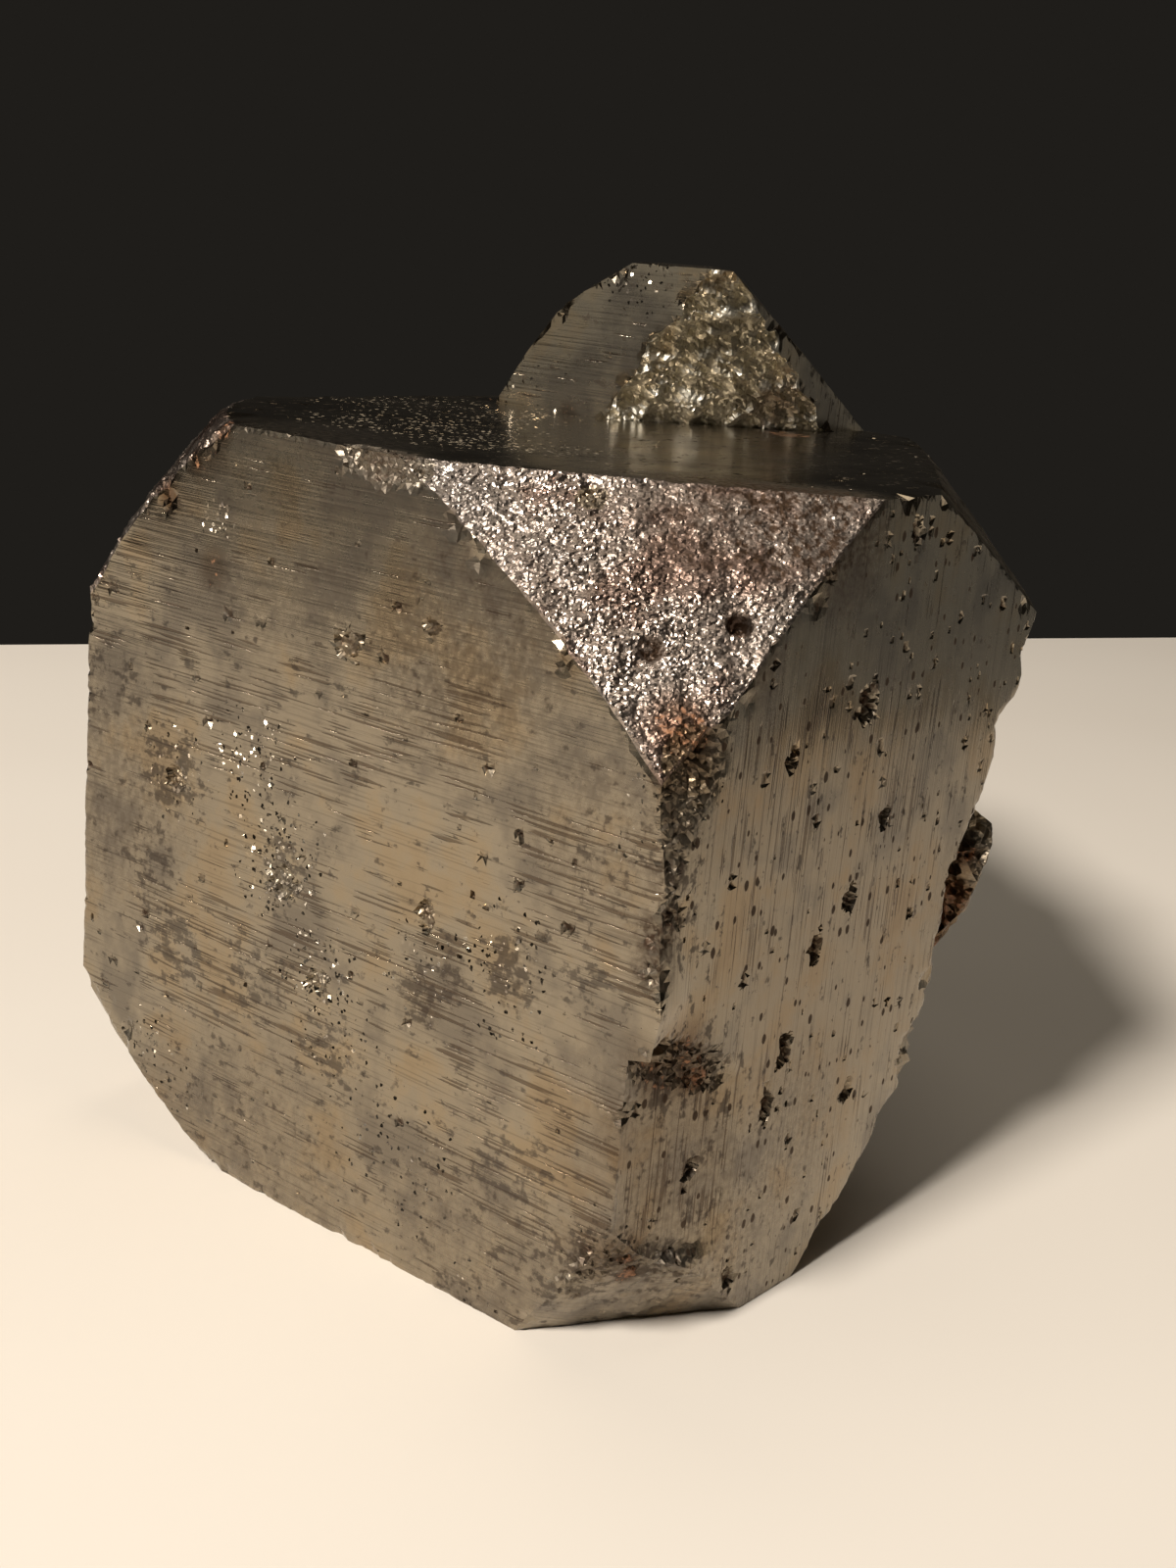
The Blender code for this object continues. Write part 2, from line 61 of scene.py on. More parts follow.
# %% Sizes
GROUP_MIDDLE = np.array((-1.639, 3.896, 0.0))
MAIN_LOW, MAIN_HIGH = (-37.5, -42.0, 0.0), (37.5, 42.0, 75.0)
RIGHT, FRONT, TOP = MAIN_HIGH[0], MAIN_LOW[1], MAIN_HIGH[2]
MAIN_CUTS = {
    "corner": ((1, -1, 1), (32.6, 26.8, 23.2)),
    "front_left_top": ((-1, -1, 1), (21.0, 21.0, 20.0)),
    "front_left_bottom": ((-1, -1, -1), (23.0, 22.0, 16.0)),
    "front_right_bottom": ((1, -1, -1), (11.6, 18.5, 15.8)),
    "back_right_top": ((1, 1, 1), (32.3, 48.0, 28.9)),
    "back_left_top": ((-1, 1, 1), (14.0, 16.0, 12.0)),
    "back_left_bottom": ((-1, 1, -1), (20.0, 18.0, 22.0)),
}
MAIN_FLATS = {
    "broken_back": ((0.60, 0.76, -0.245), (RIGHT, 14.7, 60.4)),
    "back_foot": ((0.42, 0.567, -0.655), (RIGHT, -15.0, 0.0)),
}
SMALL_LOW, SMALL_HIGH = (-41.5, 10.0, 48.0), (-0.5, 50.0, 92.2)
SMALL_CUTS = {
    "left_top_steep": ((-1, -1, 1), (22.7, 75.0, 31.8)),
    "left_top_low": ((-1, -1, 1), (29.2, 55.0, 16.9)),
    "back_right_top": ((1, 1, 1), (33.0, 38.0, 22.3)),
    "back_left_bottom": ((-1, 1, -1), (12.0, 12.0, 12.0)),
}
SMALL_FLATS = {"broken_front": ((0.711, -0.462, -0.531), (-2.5, 10.0, 92.2))}
TINY = 1e-6


def unit(vector):
    """The vector at length one."""
    vector = np.asarray(vector, dtype=float)
    return vector / np.linalg.norm(vector)


def crystal_flats(low, high, cuts, flats):
    """Each flat's name, facing and distance. A cut's facing is its side over its reach."""
    low, high = np.array(low), np.array(high)
    named = {}
    for axis, (near, far) in enumerate((("left", "right"), ("front", "back"), ("bottom", "top"))):
        facing = np.eye(3)[axis]
        named[near] = (-facing, -low[axis])
        named[far] = (facing, high[axis])
    for name, (side, legs) in cuts.items():
        side = np.array(side)
        slope = side / np.array(legs)
        reach = slope @ np.where(side > 0, high, low) - 1.0
        named[name] = (unit(slope), reach / np.linalg.norm(slope))
    for name, (facing, point) in flats.items():
        named[name] = (unit(facing), unit(facing) @ np.array(point))
    return named


def flat_corners(facing, distance):
    """Where three flats meet and no other cuts the point off, with the numbers of the three."""
    corners, owners = [], []
    for trio in combinations(range(len(facing)), 3):
        rows = facing[list(trio)]
        if abs(np.linalg.det(rows)) < TINY:
            continue
        point = np.linalg.solve(rows, distance[list(trio)])
        if np.all(facing @ point <= distance + TINY):
            corners.append(point)
            owners.append(trio)
    return np.array(corners), owners


main_flats = crystal_flats(MAIN_LOW, MAIN_HIGH, MAIN_CUTS, MAIN_FLATS)
print("the large crystal has", len(main_flats), "flats")

# %% [markdown]
# ## Randomness with a size
#
# A natural surface is uneven at several sizes at once. Waves are smooth swellings, and a lattice
# is the same on a flat. Grains are a mosaic of little tilted planes, which makes a surface
# glitter. Each is a formula on whole arrays.

# %% Unevenness
WAVES = 24
WAVE_SPREAD, WAVE_GAIN = (0.7, 1.5), 0.6
TABLE = 256
GRAIN_MARGIN = 0.05                 # of a cell
AROUND = np.array([(a, b) for a in (-1, 0, 1) for b in (-1, 0, 1)])


def waves(points, size, seed):
    """Sum of sine waves of about this size, in random directions in space: about -1 to 1."""
    rng = np.random.default_rng(seed)
    directions = rng.normal(size=(WAVES, 3))
    directions /= np.linalg.norm(directions, axis=1, keepdims=True)
    lengths = size * rng.uniform(*WAVE_SPREAD, WAVES)
    phases = rng.uniform(0, 2 * np.pi, WAVES)
    angles = points @ (directions * (2 * np.pi / lengths)[:, None]).T + phases
    return np.sin(angles).sum(axis=1) * np.sqrt(2 / WAVES) * WAVE_GAIN


def lattice(spots, size, seed):
    """Random heights on a grid of cells of this size, blended between by a smooth step."""
    table = np.random.default_rng(seed).uniform(-1, 1, (TABLE, TABLE))
    place = spots / size
    cell = np.floor(place).astype(int)
    share = place - cell
    share = share * share * (3 - 2 * share)
    near, far = cell % TABLE, (cell + 1) % TABLE
    low, high = (table[near[:, 0], row] * (1 - share[:, 0]) + table[far[:, 0], row] * share[:, 0]
                 for row in (near[:, 1], far[:, 1]))
    return low * (1 - share[:, 1]) + high * share[:, 1]


def grains(spots, size, seed):
    """For each place its nearest grain middle on a shaken grid: the offset, in grain widths,
    and the grain's own three random numbers."""
    table = np.random.default_rng(seed).uniform(0, 1, (TABLE, TABLE, 5))
    place = spots / size
    cell = np.floor(place).astype(int)
    nearest = np.full(len(spots), np.inf)
    offset, own = np.zeros((len(spots), 2)), np.zeros((len(spots), 3))
    for step in AROUND:
        neighbour = cell + step
        numbers = table[neighbour[:, 0] % TABLE, neighbour[:, 1] % TABLE]
        middle = neighbour + GRAIN_MARGIN + (1 - 2 * GRAIN_MARGIN) * numbers[:, :2]
        away = place - middle
        gap = (away ** 2).sum(axis=1)
        closer = gap < nearest
        nearest[closer], offset[closer] = gap[closer], away[closer]
        own[closer] = numbers[closer, 2:]
    return offset, own


def facets(spots, size, tilt, seed):
    """A mosaic of planes: each grain leans by up to this slope and stands at its own height."""
    offset, own = grains(spots, np.array(size), seed)
    lean = (own[:, 1:] - 0.5) * 2 * tilt
    width = float(np.mean(size))
    return width * ((offset * lean).sum(axis=1) + (own[:, 0] - 0.5) * tilt)


sample = lattice(np.random.default_rng(0).uniform(0, 50, (2000, 2)), np.array((5.0, 0.5)), 1)
print("a lattice runs from", round(float(sample.min()), 2), "to", round(float(sample.max()), 2))

# %% [markdown]
# ## What is where on the faces
#
# Someone would know the stone by its largest pits and its crowded combs of growth lines, so they
# have places of their own. The front flat's are given from side to side and in height, the right
# flat's in height and then from front to back, because its growth lines run up and down. A comb
# is a middle and a size. A pit is a middle, half its length and half its width, and its depth.

# %% Combs and pits
FRONT_COMBS = (
    ((-5, 48), (16, 8)), ((27, 18), (20, 14)), ((-31, 57), (12, 8)), ((30, 42), (14, 12)),
    ((-14, 22), (26, 12)), ((9, 31), (22, 7)), ((-20, 50), (12, 9)), ((10, 52), (16, 6)),
)
RIGHT_COMBS = (
    ((48, -26), (20, 11)), ((45, -7), (20, 7)), ((20, -34), (14, 8)),
)
FRONT_PITS = (
    (0.2, 57.5, 1.6, 1.3, 0.7), (10.2, 61.1, 1.1, 0.8, 0.7), (11.8, 35.4, 1, 1.2, 0.7),
    (-6.9, 33, 1.9, 1.5, 0.5), (-23.3, 39.5, 1.2, 1.5, 0.6), (-1.6, 24.6, 1.5, 1, 0.6),
)
RIGHT_PITS = (
    (56.7, -14.2, 1.7, 1.5, 1), (53.6, -25.3, 1.1, 0.7, 0.8), (38, -13, 1.3, 1.1, 0.9),
    (34.6, -18, 1.6, 0.9, 0.9), (25.4, -21, 1.5, 1, 0.9), (20.2, -23.2, 1.4, 0.8, 0.9),
    (17, -32.6, 1, 0.8, 0.75), (17.6, -9, 1, 0.7, 0.7), (4.5, -26.1, 1.4, 0.9, 0.8),
    (72, -9.5, 1.2, 0.7, 0.75), (45, -8.4, 1.1, 0.7, 0.8),
)
# Each hole's middle in space, its radius and its depth
CORNER_HOLES = (((34.0, -30.7, 64.1), 0.9, 1.8), ((29.8, -36.7, 61.9), 1.0, 0.5))
COMB_FADE = 3.0


def comb_strength(spots, combs):
    """How crowded the growth lines are: one inside a comb, falling to nothing outside it."""
    strength = np.zeros(len(spots))
    for middle, size in combs:
        beyond = np.abs(spots - middle) - np.array(size) / 2
        strength = np.maximum(strength, np.clip(1 - beyond.max(axis=1) / COMB_FADE, 0, 1))
    return strength


print(len(FRONT_PITS) + len(RIGHT_PITS), "large pits")

# %% [markdown]
# ## Marks on the stone
#
# Rust, dirt, wear and sparkling grains lie where water, dust and knocks reached, and some dark
# marks are painted shade. A mark is a round place in space: x, y and z, how far it reaches, and
# how strong it is. One on the large crystal's right, front or top flat takes that flat's own
# coordinate.

# %% Marks
RUST = (
    (34.7, -38.4, 57, 3.2, 0.8), (36.5, -41, 53.5, 2.2, 0.3), (35.5, -34, 26.4, 3, 0.7),
    (36, -40, 30, 3, 0.5), (-27, -36, 67, 7, 0.45), (-20, -41.5, 72, 3, 0.5),
    (-18.5, FRONT, 61, 2.4, 0.6), (36, FRONT, 10.6, 3, 0.6), (0, 24, 76, 4.5, 0.8),
    (31, 10, 27, 6, 1), (18, -33, 73.6, 3, 0.3), (34.2, -30.2, 67, 3, 0.3),
    (-20, 10, TOP, 1.6, 0.6), (25, -34, 68, 12, 0.3), (-18, -41.2, 74, 1.7, 0.8),
    (-21.5, -41.2, 70.8, 1.7, 0.8), (-25.5, -41, 67, 1.8, 0.8), (-33, 12, TOP, 3, 0.6),
    (-38, 30, 49, 9, 0.5), (0, 45, 47, 9, 0.5), (12, 27, 26, 5, 0.8), (-22, -36, 5, 8, 0.3),
    (RIGHT, -36, 20, 9, 0.3), (36, FRONT, 22, 4, 0.35), (38.5, -14, 36, 26, 0.22),
    (34.3, -37.4, 7.6, 1.3, 1), (35.1, -38.6, 9.4, 1.2, 0.9), (36.5, -37, 28, 4.5, 0.65),
    (34.5, -40, 10.5, 4, 0.5), (31, 11, 37, 4, 0.8), (36.5, 9.5, 38.5, 2.6, 0.8),
    (36, 8.5, 32.5, 3.4, 1), (36.2, -33.2, 25.8, 1.8, 0.9), (RIGHT, -31, 50, 9, 0.25),
)
DIRT = (
    (11.8, FRONT, 27.2, 2.4, 1), (15.2, FRONT, 30.1, 2.2, 0.8), (21.9, FRONT, 33.1, 3.2, 0.9),
    (30.5, FRONT, 35, 3, 0.8), (-22.5, FRONT, 22.4, 4.5, 0.8), (-11.5, FRONT, 22, 4, 0.7),
    (1, FRONT, 18, 4, 0.7), (-23.5, FRONT, 40, 4.5, 0.8), (-7, FRONT, 34, 4, 0.6),
    (33, FRONT, 47, 5, 0.35), (-27, FRONT, 30, 5, 0.5), (24, FRONT, 14, 6, 0.5),
    (RIGHT, -40, 44, 4, 0.5), (RIGHT, -36, 31, 4, 0.4), (-33, FRONT, 47, 4, 0.5),
    (-12, FRONT, 6, 16, 0.2), (20, FRONT, 8, 14, 0.25), (RIGHT, -32, 12, 12, 0.3),
    (31, FRONT, 8, 6, 0.6), (35, -38, 8, 5, 0.7), (RIGHT, -31, 24, 4, 0.6),
    (RIGHT, -39, 40, 4, 0.45), (RIGHT, -37, 26, 4, 0.8),
)
# Where the metal is darker: worn, dull spots and the worn strip, and painted shade: broad weak
# patches on the front flat's top, left side and foot and on the right flat's foot, and the
# corner's darker upper right, part dull film and part painted shade
DULL_AND_SHADE = (
    (33, -18.5, 74.5, 4, 0.9), (30, -22, 74, 5, 0.9), (35, -22.5, 71, 4, 0.9),
    (33, -26, 70.5, 5, 0.8), (28, -27, 71.5, 9, 0.65), (35.5, -32, 62, 4, 0.45),
    (34, -38.5, 57.5, 4, 0.5), (36, -39.5, 54, 3, 0.45), (36.6, -40.5, 50, 2.4, 0.45),
    (37, -41, 46, 2, 0.5), (RIGHT, -40.6, 42, 1.4, 0.8), (14, FRONT, 62, 12, 0.36),
    (-8, FRONT, 68, 14, 0.2), (-34, FRONT, 36, 13, 0.26), (-8, FRONT, 2, 16, 0.2),
    (RIGHT, -32, 10, 14, 0.25), (35.5, -38, 24, 8, 0.2), (31, -41.5, 9, 4, 0.25),
    (3, FRONT, 74.6, 3.5, 0.5), (36.5, -37, 9, 3, 0.3), (36, -36, 28, 3.5, 0.25),
    (36.9, -41.9, 40.5, 2.2, 0.7), (36.9, -41.9, 37.6, 2, 0.6), (RIGHT, -30, 8, 10, 0.3),
    (11.8, FRONT, 27.2, 2.6, 0.25), (15.2, FRONT, 30.1, 2.2, 0.2), (21.9, FRONT, 33.1, 3, 0.2),
    (32, 11, 34, 9, 0.2), (30, FRONT, 48, 8, 0.2), (20, FRONT, 5, 10, 0.2),
    (RIGHT, -20, 15, 10, 0.22), (33, -21, 72, 7, 0.75),
)
# Where a smooth flat is broken to grains: the worn strip, the block's top, the foot, a chip
COARSE = (
    (RIGHT, -38.8, 54.8, 2.7, 1), (RIGHT, -39.6, 52, 2.1, 1), (RIGHT, -40.3, 49.5, 1.6, 1),
    (RIGHT, -40.9, 47, 1.2, 1), (RIGHT, -41.2, 45, 0.9, 0.9), (RIGHT, -40.6, 42.3, 1.2, 0.9),
    (RIGHT, -40.5, 29.6, 1.8, 1), (RIGHT, -38, 28.8, 1.8, 1), (RIGHT, -35.5, 27.8, 1.8, 1),
    (RIGHT, -33, 26.6, 1.8, 1), (RIGHT, -31.2, 25.6, 1.2, 0.8), (35, -40, 10.7, 2.4, 1),
    (36, -37, 9.5, 2.2, 1), (33, -41, 8.8, 2, 1), (31, -41.5, 6.5, 1.5, 0.9),
    (37, -34, 8.3, 1.8, 0.9), (3, FRONT, 74.6, 2.4, 1), (-0.5, FRONT, 74.8, 1.8, 1),
    (6.2, FRONT, 74.2, 1.8, 1), (20, -34, 73.6, 1.8, 0.8), (36.9, -41.9, 40.5, 1, 0.9),
    (36.9, -41.9, 37.6, 0.9, 0.9),
)
SPARKLE = (
    (-7, FRONT, 36, 5, 1), (-9.5, FRONT, 34, 4, 0.9), (-1.5, FRONT, 25, 4.5, 0.9),
    (-23.5, FRONT, 40, 4, 0.8), (1, FRONT, 20, 4.5, 0.7), (11.5, FRONT, 30, 4, 0.6),
    (21.9, FRONT, 33, 5, 0.7), (-26.5, FRONT, 10.3, 3, 0.8), (-22.3, FRONT, 6.3, 3, 0.8),
    (-18, FRONT, 66, 2, 0.9), (32.9, FRONT, 47.4, 1.5, 0.9), (19.7, FRONT, 2.1, 2, 0.9),
    (-12, FRONT, 44, 5, 0.7), (10, FRONT, 10, 7, 0.4), (-12, -22, TOP, 10, 0.9),
    (-1, -26, TOP, 7, 0.9), (-25, -5, TOP, 12, 0.6), (8, -20, TOP, 6, 0.5), (-12, 10, 91, 4, 0.5),
    (34.5, -40.5, 11, 4, 0.8), (37, -39.5, 52, 4, 0.8),
)
MARK_SPREAD, MARK_SLOPE = 1.4, 1.6  # a mark is full well inside its reach and ends past it


def marked(points, places, spread=MARK_SPREAD):
    """How strong a mark is at each point: the strongest of the marked places near it."""
    marks = np.zeros(len(points))
    for x, y, z, reach, strength in places:
        share = 1 - np.linalg.norm(points - (x, y, z), axis=1) / (reach * spread)
        marks = np.maximum(marks, strength * np.clip(share * MARK_SLOPE, 0, 1))
    return marks


print(len(RUST), "rusty places and", len(DIRT), "dirty ones")

# %% [markdown]
# ## The front right edge
#
# This edge is the most damaged. A block at its foot is sunk, with a ragged top and a low lip
# above it, and a narrow strip below the corner is worn away. All of it is on the right flat.

# %% The block, the lip and the strip
BLOCK_LOW, BLOCK_HIGH, BLOCK_REACH, BLOCK_DROP = 8.0, 30.5, 13.0, 2.1
BLOCK_START, BLOCK_FOOT_FADE, BLOCK_TOP_FADE = 1.15, 1.5, 0.5
BLOCK_LEAN, BLOCK_RAGGED, RAGGED_SIZE, RAGGED_SEED = 0.3, 0.8, 3.0, 77
LIP_HEIGHT, LIP_HALF, LIP_REACH, LIP_RISE = 34.5, 5.0, 5.0, 0.9
STRIP_LOW, STRIP_HIGH, STRIP_REACH, STRIP_DROP = 43.5, 56.0, 6.5, 2.1


def right_shape(points):
    """The sunk block at the foot, falling away forwards, the lip above it, and the worn strip."""
    back, height = points[:, 1] - FRONT, points[:, 2]
    ragged = BLOCK_RAGGED * waves(points, RAGGED_SIZE, RAGGED_SEED)
    block_top = BLOCK_HIGH - BLOCK_LEAN * back + ragged
    in_block = np.clip((height - BLOCK_LOW) / BLOCK_FOOT_FADE, 0, 1)
    in_block *= np.clip((block_top - height) / BLOCK_TOP_FADE, 0, 1)
    block = BLOCK_DROP * in_block * np.clip(BLOCK_START - back / BLOCK_REACH, 0, 1)
    lip = np.clip(1 - np.abs(height - LIP_HEIGHT) / LIP_HALF, 0, 1)
    lip *= LIP_RISE * np.clip(1 - back / LIP_REACH, 0, 1) * (height > block_top)
    rise = np.clip((height - STRIP_LOW) / (STRIP_HIGH - STRIP_LOW), 0, 1)
    strip = STRIP_DROP * np.clip(rise - back / STRIP_REACH, 0, 1)
    return block - lip + strip


print("the block is", BLOCK_HIGH - BLOCK_LOW, "mm high and sinks by", BLOCK_DROP, "mm")

# %% [markdown]
# ## The relief of one flat
#
# Cube faces are striated: low swellings that run with the grain. The corner is grainy, a mosaic
# of grains half a millimetre wide. Broken and split surfaces have coarse grains, and differ in
# colour. A cut corner is plain, with shallow grains in patches. Depth is measured into the stone.

# %% The kinds of relief
SWAY_SIZE, SWELL_SIZE, SWELL_SHARE = 24.0, 8.0, 0.2
LINE_SIZE = np.array((14.0, 1.6))   # along the grain and across it
LINE_DEPTH, COMB_DEPTH = 0.004, 0.012
GRAINY_LUMP, GRAINY_DEPTH = 5.0, 0.16
# A patch of painted shade loses its relief as a dull spot does
DULL_WEAR = 0.7                     # the share of its relief that a dull place loses
PLAIN_LUMP, PLAIN_DEPTH, PATCH_SIZE, PATCH_GAIN = 3.0, 0.03, 12.0, 2.0
SUNK = 0.35                         # how deep a broken surface lies under its rim
# Each mosaic's grain size, along the grain and across it, and its grains' lean
GRAINY_MOSAICS = (((0.8, 0.8), 0.16), ((0.42, 0.42), 0.3))
BROKEN_MOSAICS = (((3.4, 2.0), 0.3), ((1.5, 0.9), 0.4), ((0.7, 0.55), 0.45))
PLAIN_MOSAIC = ((1.2, 1.2), 0.1)
COARSE_MOSAIC = ((0.6, 0.5), 0.55)


def mosaics(spots, sizes, seed):
    """The sum of several mosaics, each with a seed of its own."""
    return sum(facets(spots, *one, seed + number) for number, one in enumerate(sizes))


def striated(flat, points, spots):
    """Wide swellings, and long low ones that run with the grain, highest in the combs."""
    seed = flat.seed
    sway = waves(points, SWAY_SIZE, seed + 1) + SWELL_SHARE * waves(points, SWELL_SIZE, seed + 2)
    line = LINE_DEPTH + COMB_DEPTH * comb_strength(spots, flat.combs)
    return flat.sway * sway + line * lattice(spots, LINE_SIZE, seed + 3)


def grainy(flat, points, spots):
    """Two mosaics of grains on low lumps, lower at the dull spots and under the painted shade."""
    depth = GRAINY_DEPTH * waves(points, GRAINY_LUMP, flat.seed + 1)
    depth += mosaics(spots, GRAINY_MOSAICS, flat.seed + 2)
    return depth * (1 - DULL_WEAR * marked(points, DULL_AND_SHADE))


def broken(flat, points, spots):
    """Coarse grains, longer one way, on smaller ones. None stands out past the rim."""
    return np.maximum(mosaics(spots, BROKEN_MOSAICS, flat.seed + 2) + SUNK, 0.0)


def plain(flat, points, spots):
    """A cut corner's own flat: low lumps, and shallow grains in patches."""
    depth = PLAIN_DEPTH * waves(points, PLAIN_LUMP, flat.seed + 3)
    patch = np.clip(waves(points, PATCH_SIZE, flat.seed + 5) * PATCH_GAIN, 0, 1)
    return depth + patch * facets(spots, *PLAIN_MOSAIC, flat.seed + 4)


RELIEF = {"striated": striated, "grainy": grainy, "broken": broken, "split": broken,
          "plain": plain}
KINDS = tuple(RELIEF)
print("kinds of relief:", KINDS)

# %% [markdown]
# ## One flat
#
# A finish says how densely a flat is filled with points, and what relief they get. The points lie
# in rows along the flat's grain, so what runs with the grain comes out straight. Each pit has
# extra points at its rim and its floor. Each point keeps marks, so that the material can follow
# the relief.

# %% A flat
GRAIN = {
    "front": (1, 0, 0), "back": (1, 0, 0),
    "left": (0, 0, 1), "right": (0, 0, 1),
    "top": (0, 1, 0), "bottom": (0, 1, 0),
}
OTHER_GRAIN = (0.3, 0.2, 1.0)
SQUARE = np.array([(-1, -1), (0, -1), (1, -1), (1, 0), (1, 1), (0, 1), (-1, 1), (-1, 0)])
PIT_LEAST, PIT_MOST = (0.22, 0.14, 0.1), (0.85, 0.45, 0.38)
PIT_RINGS = (1.1, 0.9, 0.55)        # where its rings of points lie, as shares of its reach
# How far a rim is shaken, how square it is, and the share of its reach that its side takes
PIT_RIM, NEST_RIM = (0.25, 6, 0.4), (0.45, 3, 0.25)
RIM_SHAKE_SIZE = np.array((0.7, 0.5))
RIM_MARGIN = 1.5                    # in a pit's half length: its shaken rim ends within this
NEST_REACH, NEST_STEP, NEST_SINK = 1.3, 0.24, 0.55
# The depth that brings out a nest's grains, and how deep a dark hollow is in a nest and at all
NEST_FULL, NEST_DARK, DARK_DEPTH = 0.3, 0.5, 0.35
COARSE_NEAR, COARSE_STEP, COARSE_GAIN, COARSE_SINK = 0.6, 0.3, 2.0, 0.15
HOLE_RIM, HOLE_FLOOR = 1.3, 0.7
RESTING_ROW = 9.0                   # for the face that it stands on
JITTER = 0.22
DARK, DEEP, COMB, PORE = range(4)   # the columns of a point's marks


@dataclass
class Flat:
    """One flat of a crystal: its finish, its axes, its rows of points and its relief."""

    name: str
    facing: np.ndarray
    outline: np.ndarray
    seed: int
    row: float                      # between rows of points
    step: float                     # between the points of a row
    kind: str
    rough: float = 0.0              # how deep its lumps are
    lump: float = 5.0               # how wide they are
    sway: float = 0.0               # how deep its widest swellings are
    dome: float = 0.0               # how far its middle stands out
    pits: int = 0
    pores: float = 0.65
    combs: tuple = ()
    nests: tuple = ()               # large pits with a floor of grains
    holes: tuple = ()
    shape: object = None            # a function for what only this flat has

    def __post_init__(self):
        """Its axes, its middle, its reach and its small pits."""
        grain = np.array(GRAIN.get(self.name, np.cross(OTHER_GRAIN, self.facing)), dtype=float)
        self.along = unit(grain - self.facing * (grain @ self.facing))
        across = np.cross(self.facing, self.along)
        self.across = -across if self.name in GRAIN and across.sum() < 0 else across
        self.middle = self.outline.mean(axis=0)
        self.reach = np.linalg.norm(self.outline - self.middle, axis=1).max()
        self.level = self.facing @ self.middle
        rng = np.random.default_rng(self.seed + 7)
        spots = self.axes_of(self.outline)
        places = rng.uniform(spots.min(axis=0), spots.max(axis=0), (self.pits, 2))
        growth = rng.uniform(0, 1, (self.pits, 3)) ** 2
        sizes = PIT_LEAST + (np.array(PIT_MOST) - PIT_LEAST) * growth
        self.small_pits = np.column_stack([places, sizes])

    def axes_of(self, points):
        """Where points lie on the flat: along its grain and across it."""
        return np.column_stack([points @ self.along, points @ self.across])

    def lift(self, spots):
        """The points in space that lie at these places on the flat."""
        return spots[:, :1] * self.along + spots[:, 1:] * self.across + self.facing * self.level

    def pit_spots(self):
        """Rings of points for each pit, and a close scatter in each nest and coarse place."""
        rng = np.random.default_rng(self.seed + 8)
        pits = self.small_pits
        rings = [pits[:, None, :2] + SQUARE * pits[:, None, 2:4] * scale for scale in PIT_RINGS]
        spots = [np.concatenate(rings, axis=1).reshape(-1, 2)]
        for along, across, half_length, half_width, _ in self.nests:
            reach = NEST_REACH * np.array((half_length, half_width))
            count = (4 * reach.prod() / NEST_STEP ** 2).astype(int)
            spots.append((along, across) + reach * rng.uniform(-1, 1, (count, 2)))
        for *middle, reach, _ in COARSE:
            if abs(self.facing @ middle - self.level) < COARSE_NEAR:
                count = int(4 * reach ** 2 / COARSE_STEP ** 2)
                spots.append(self.axes_of(np.array([middle]))
                             + reach * rng.uniform(-1, 1, (count, 2)))
        return np.concatenate(spots)

    def row_spots(self, low, high):
        """Rows of points along the grain. Only their places along the rows are shaken."""
        rng = np.random.default_rng(self.seed + 9)
        across = np.arange((np.floor(low[1] / self.row) + 0.5) * self.row, high[1], self.row)
        along = np.arange(low[0], high[0] + self.step, self.step)
        grid = np.stack(np.meshgrid(along, across), axis=-1)
        grid[1::2, :, 0] += self.step / 2
        shake = (self.step, 0.0 if self.kind == "striated" else self.row)
        grid += rng.uniform(-JITTER, JITTER, grid.shape) * shake
        return grid.reshape(-1, 2)

    def bowls(self, spots, pits, wobble, rim):
        """The deepest of some pits at each place: its depth times how far inside the rim it is,
        over the side's share. The rim is a curve between a circle and a square."""
        shaken, power, wall = rim
        depth = np.zeros(len(spots))
        for along, across, half_length, half_width, hollow in pits:
            near = np.abs(spots[:, 0] - along) < half_length * RIM_MARGIN
            inner = np.abs((spots[near] - (along, across)) / (half_length, half_width))
            reach = (inner ** power).sum(axis=1) ** (1 / power) + shaken * wobble[near]
            depth[near] = np.maximum(depth[near], hollow * np.clip((1 - reach) / wall, 0, 1))
        return depth

    def depth(self, points, share=1.0):
        """How far each point sinks, and its marks: how dark, how deep in grains, how far in a
        comb and how porous. The share is how much of its finer relief it gets."""
        spots = self.axes_of(points)
        depth = self.rough * waves(points, self.lump, self.seed)
        distance = np.linalg.norm(points - self.middle, axis=1)
        depth -= self.dome * (1 - (distance / self.reach) ** 2)
        if self.row < RESTING_ROW:
            depth += share * RELIEF[self.kind](self, points, spots)
        wobble = lattice(spots, RIM_SHAKE_SIZE, self.seed + 6)
        pit = self.bowls(spots, self.small_pits, wobble, PIT_RIM)
        for place, radius, hollow in self.holes:
            reach = np.linalg.norm(points - place, axis=1) / radius
            pit += hollow * np.clip((HOLE_RIM - reach) / (HOLE_RIM - HOLE_FLOOR), 0, 1)
        nest = self.bowls(spots, self.nests, wobble, NEST_RIM)
        deep = np.clip(nest / NEST_FULL, 0, 1)
        if self.kind != "broken" and self.name != "bottom":
            coarse = marked(points, COARSE) * (COARSE_GAIN + wobble)
            deep = np.maximum(deep, np.clip(coarse, 0, 1))
        grains_in = COARSE_SINK + facets(spots, *COARSE_MOSAIC, self.seed + 5)
        depth += pit + NEST_SINK * nest + share * deep * grains_in
        if self.shape:
            depth += self.shape(points)
        dark = np.clip(np.maximum(pit, nest - NEST_DARK) / DARK_DEPTH, 0, 1)
        pores = np.full(len(spots), self.pores)
        return depth, np.column_stack((dark, deep, comb_strength(spots, self.combs), pores))


print("a small pit takes", len(PIT_RINGS) * len(SQUARE), "points")

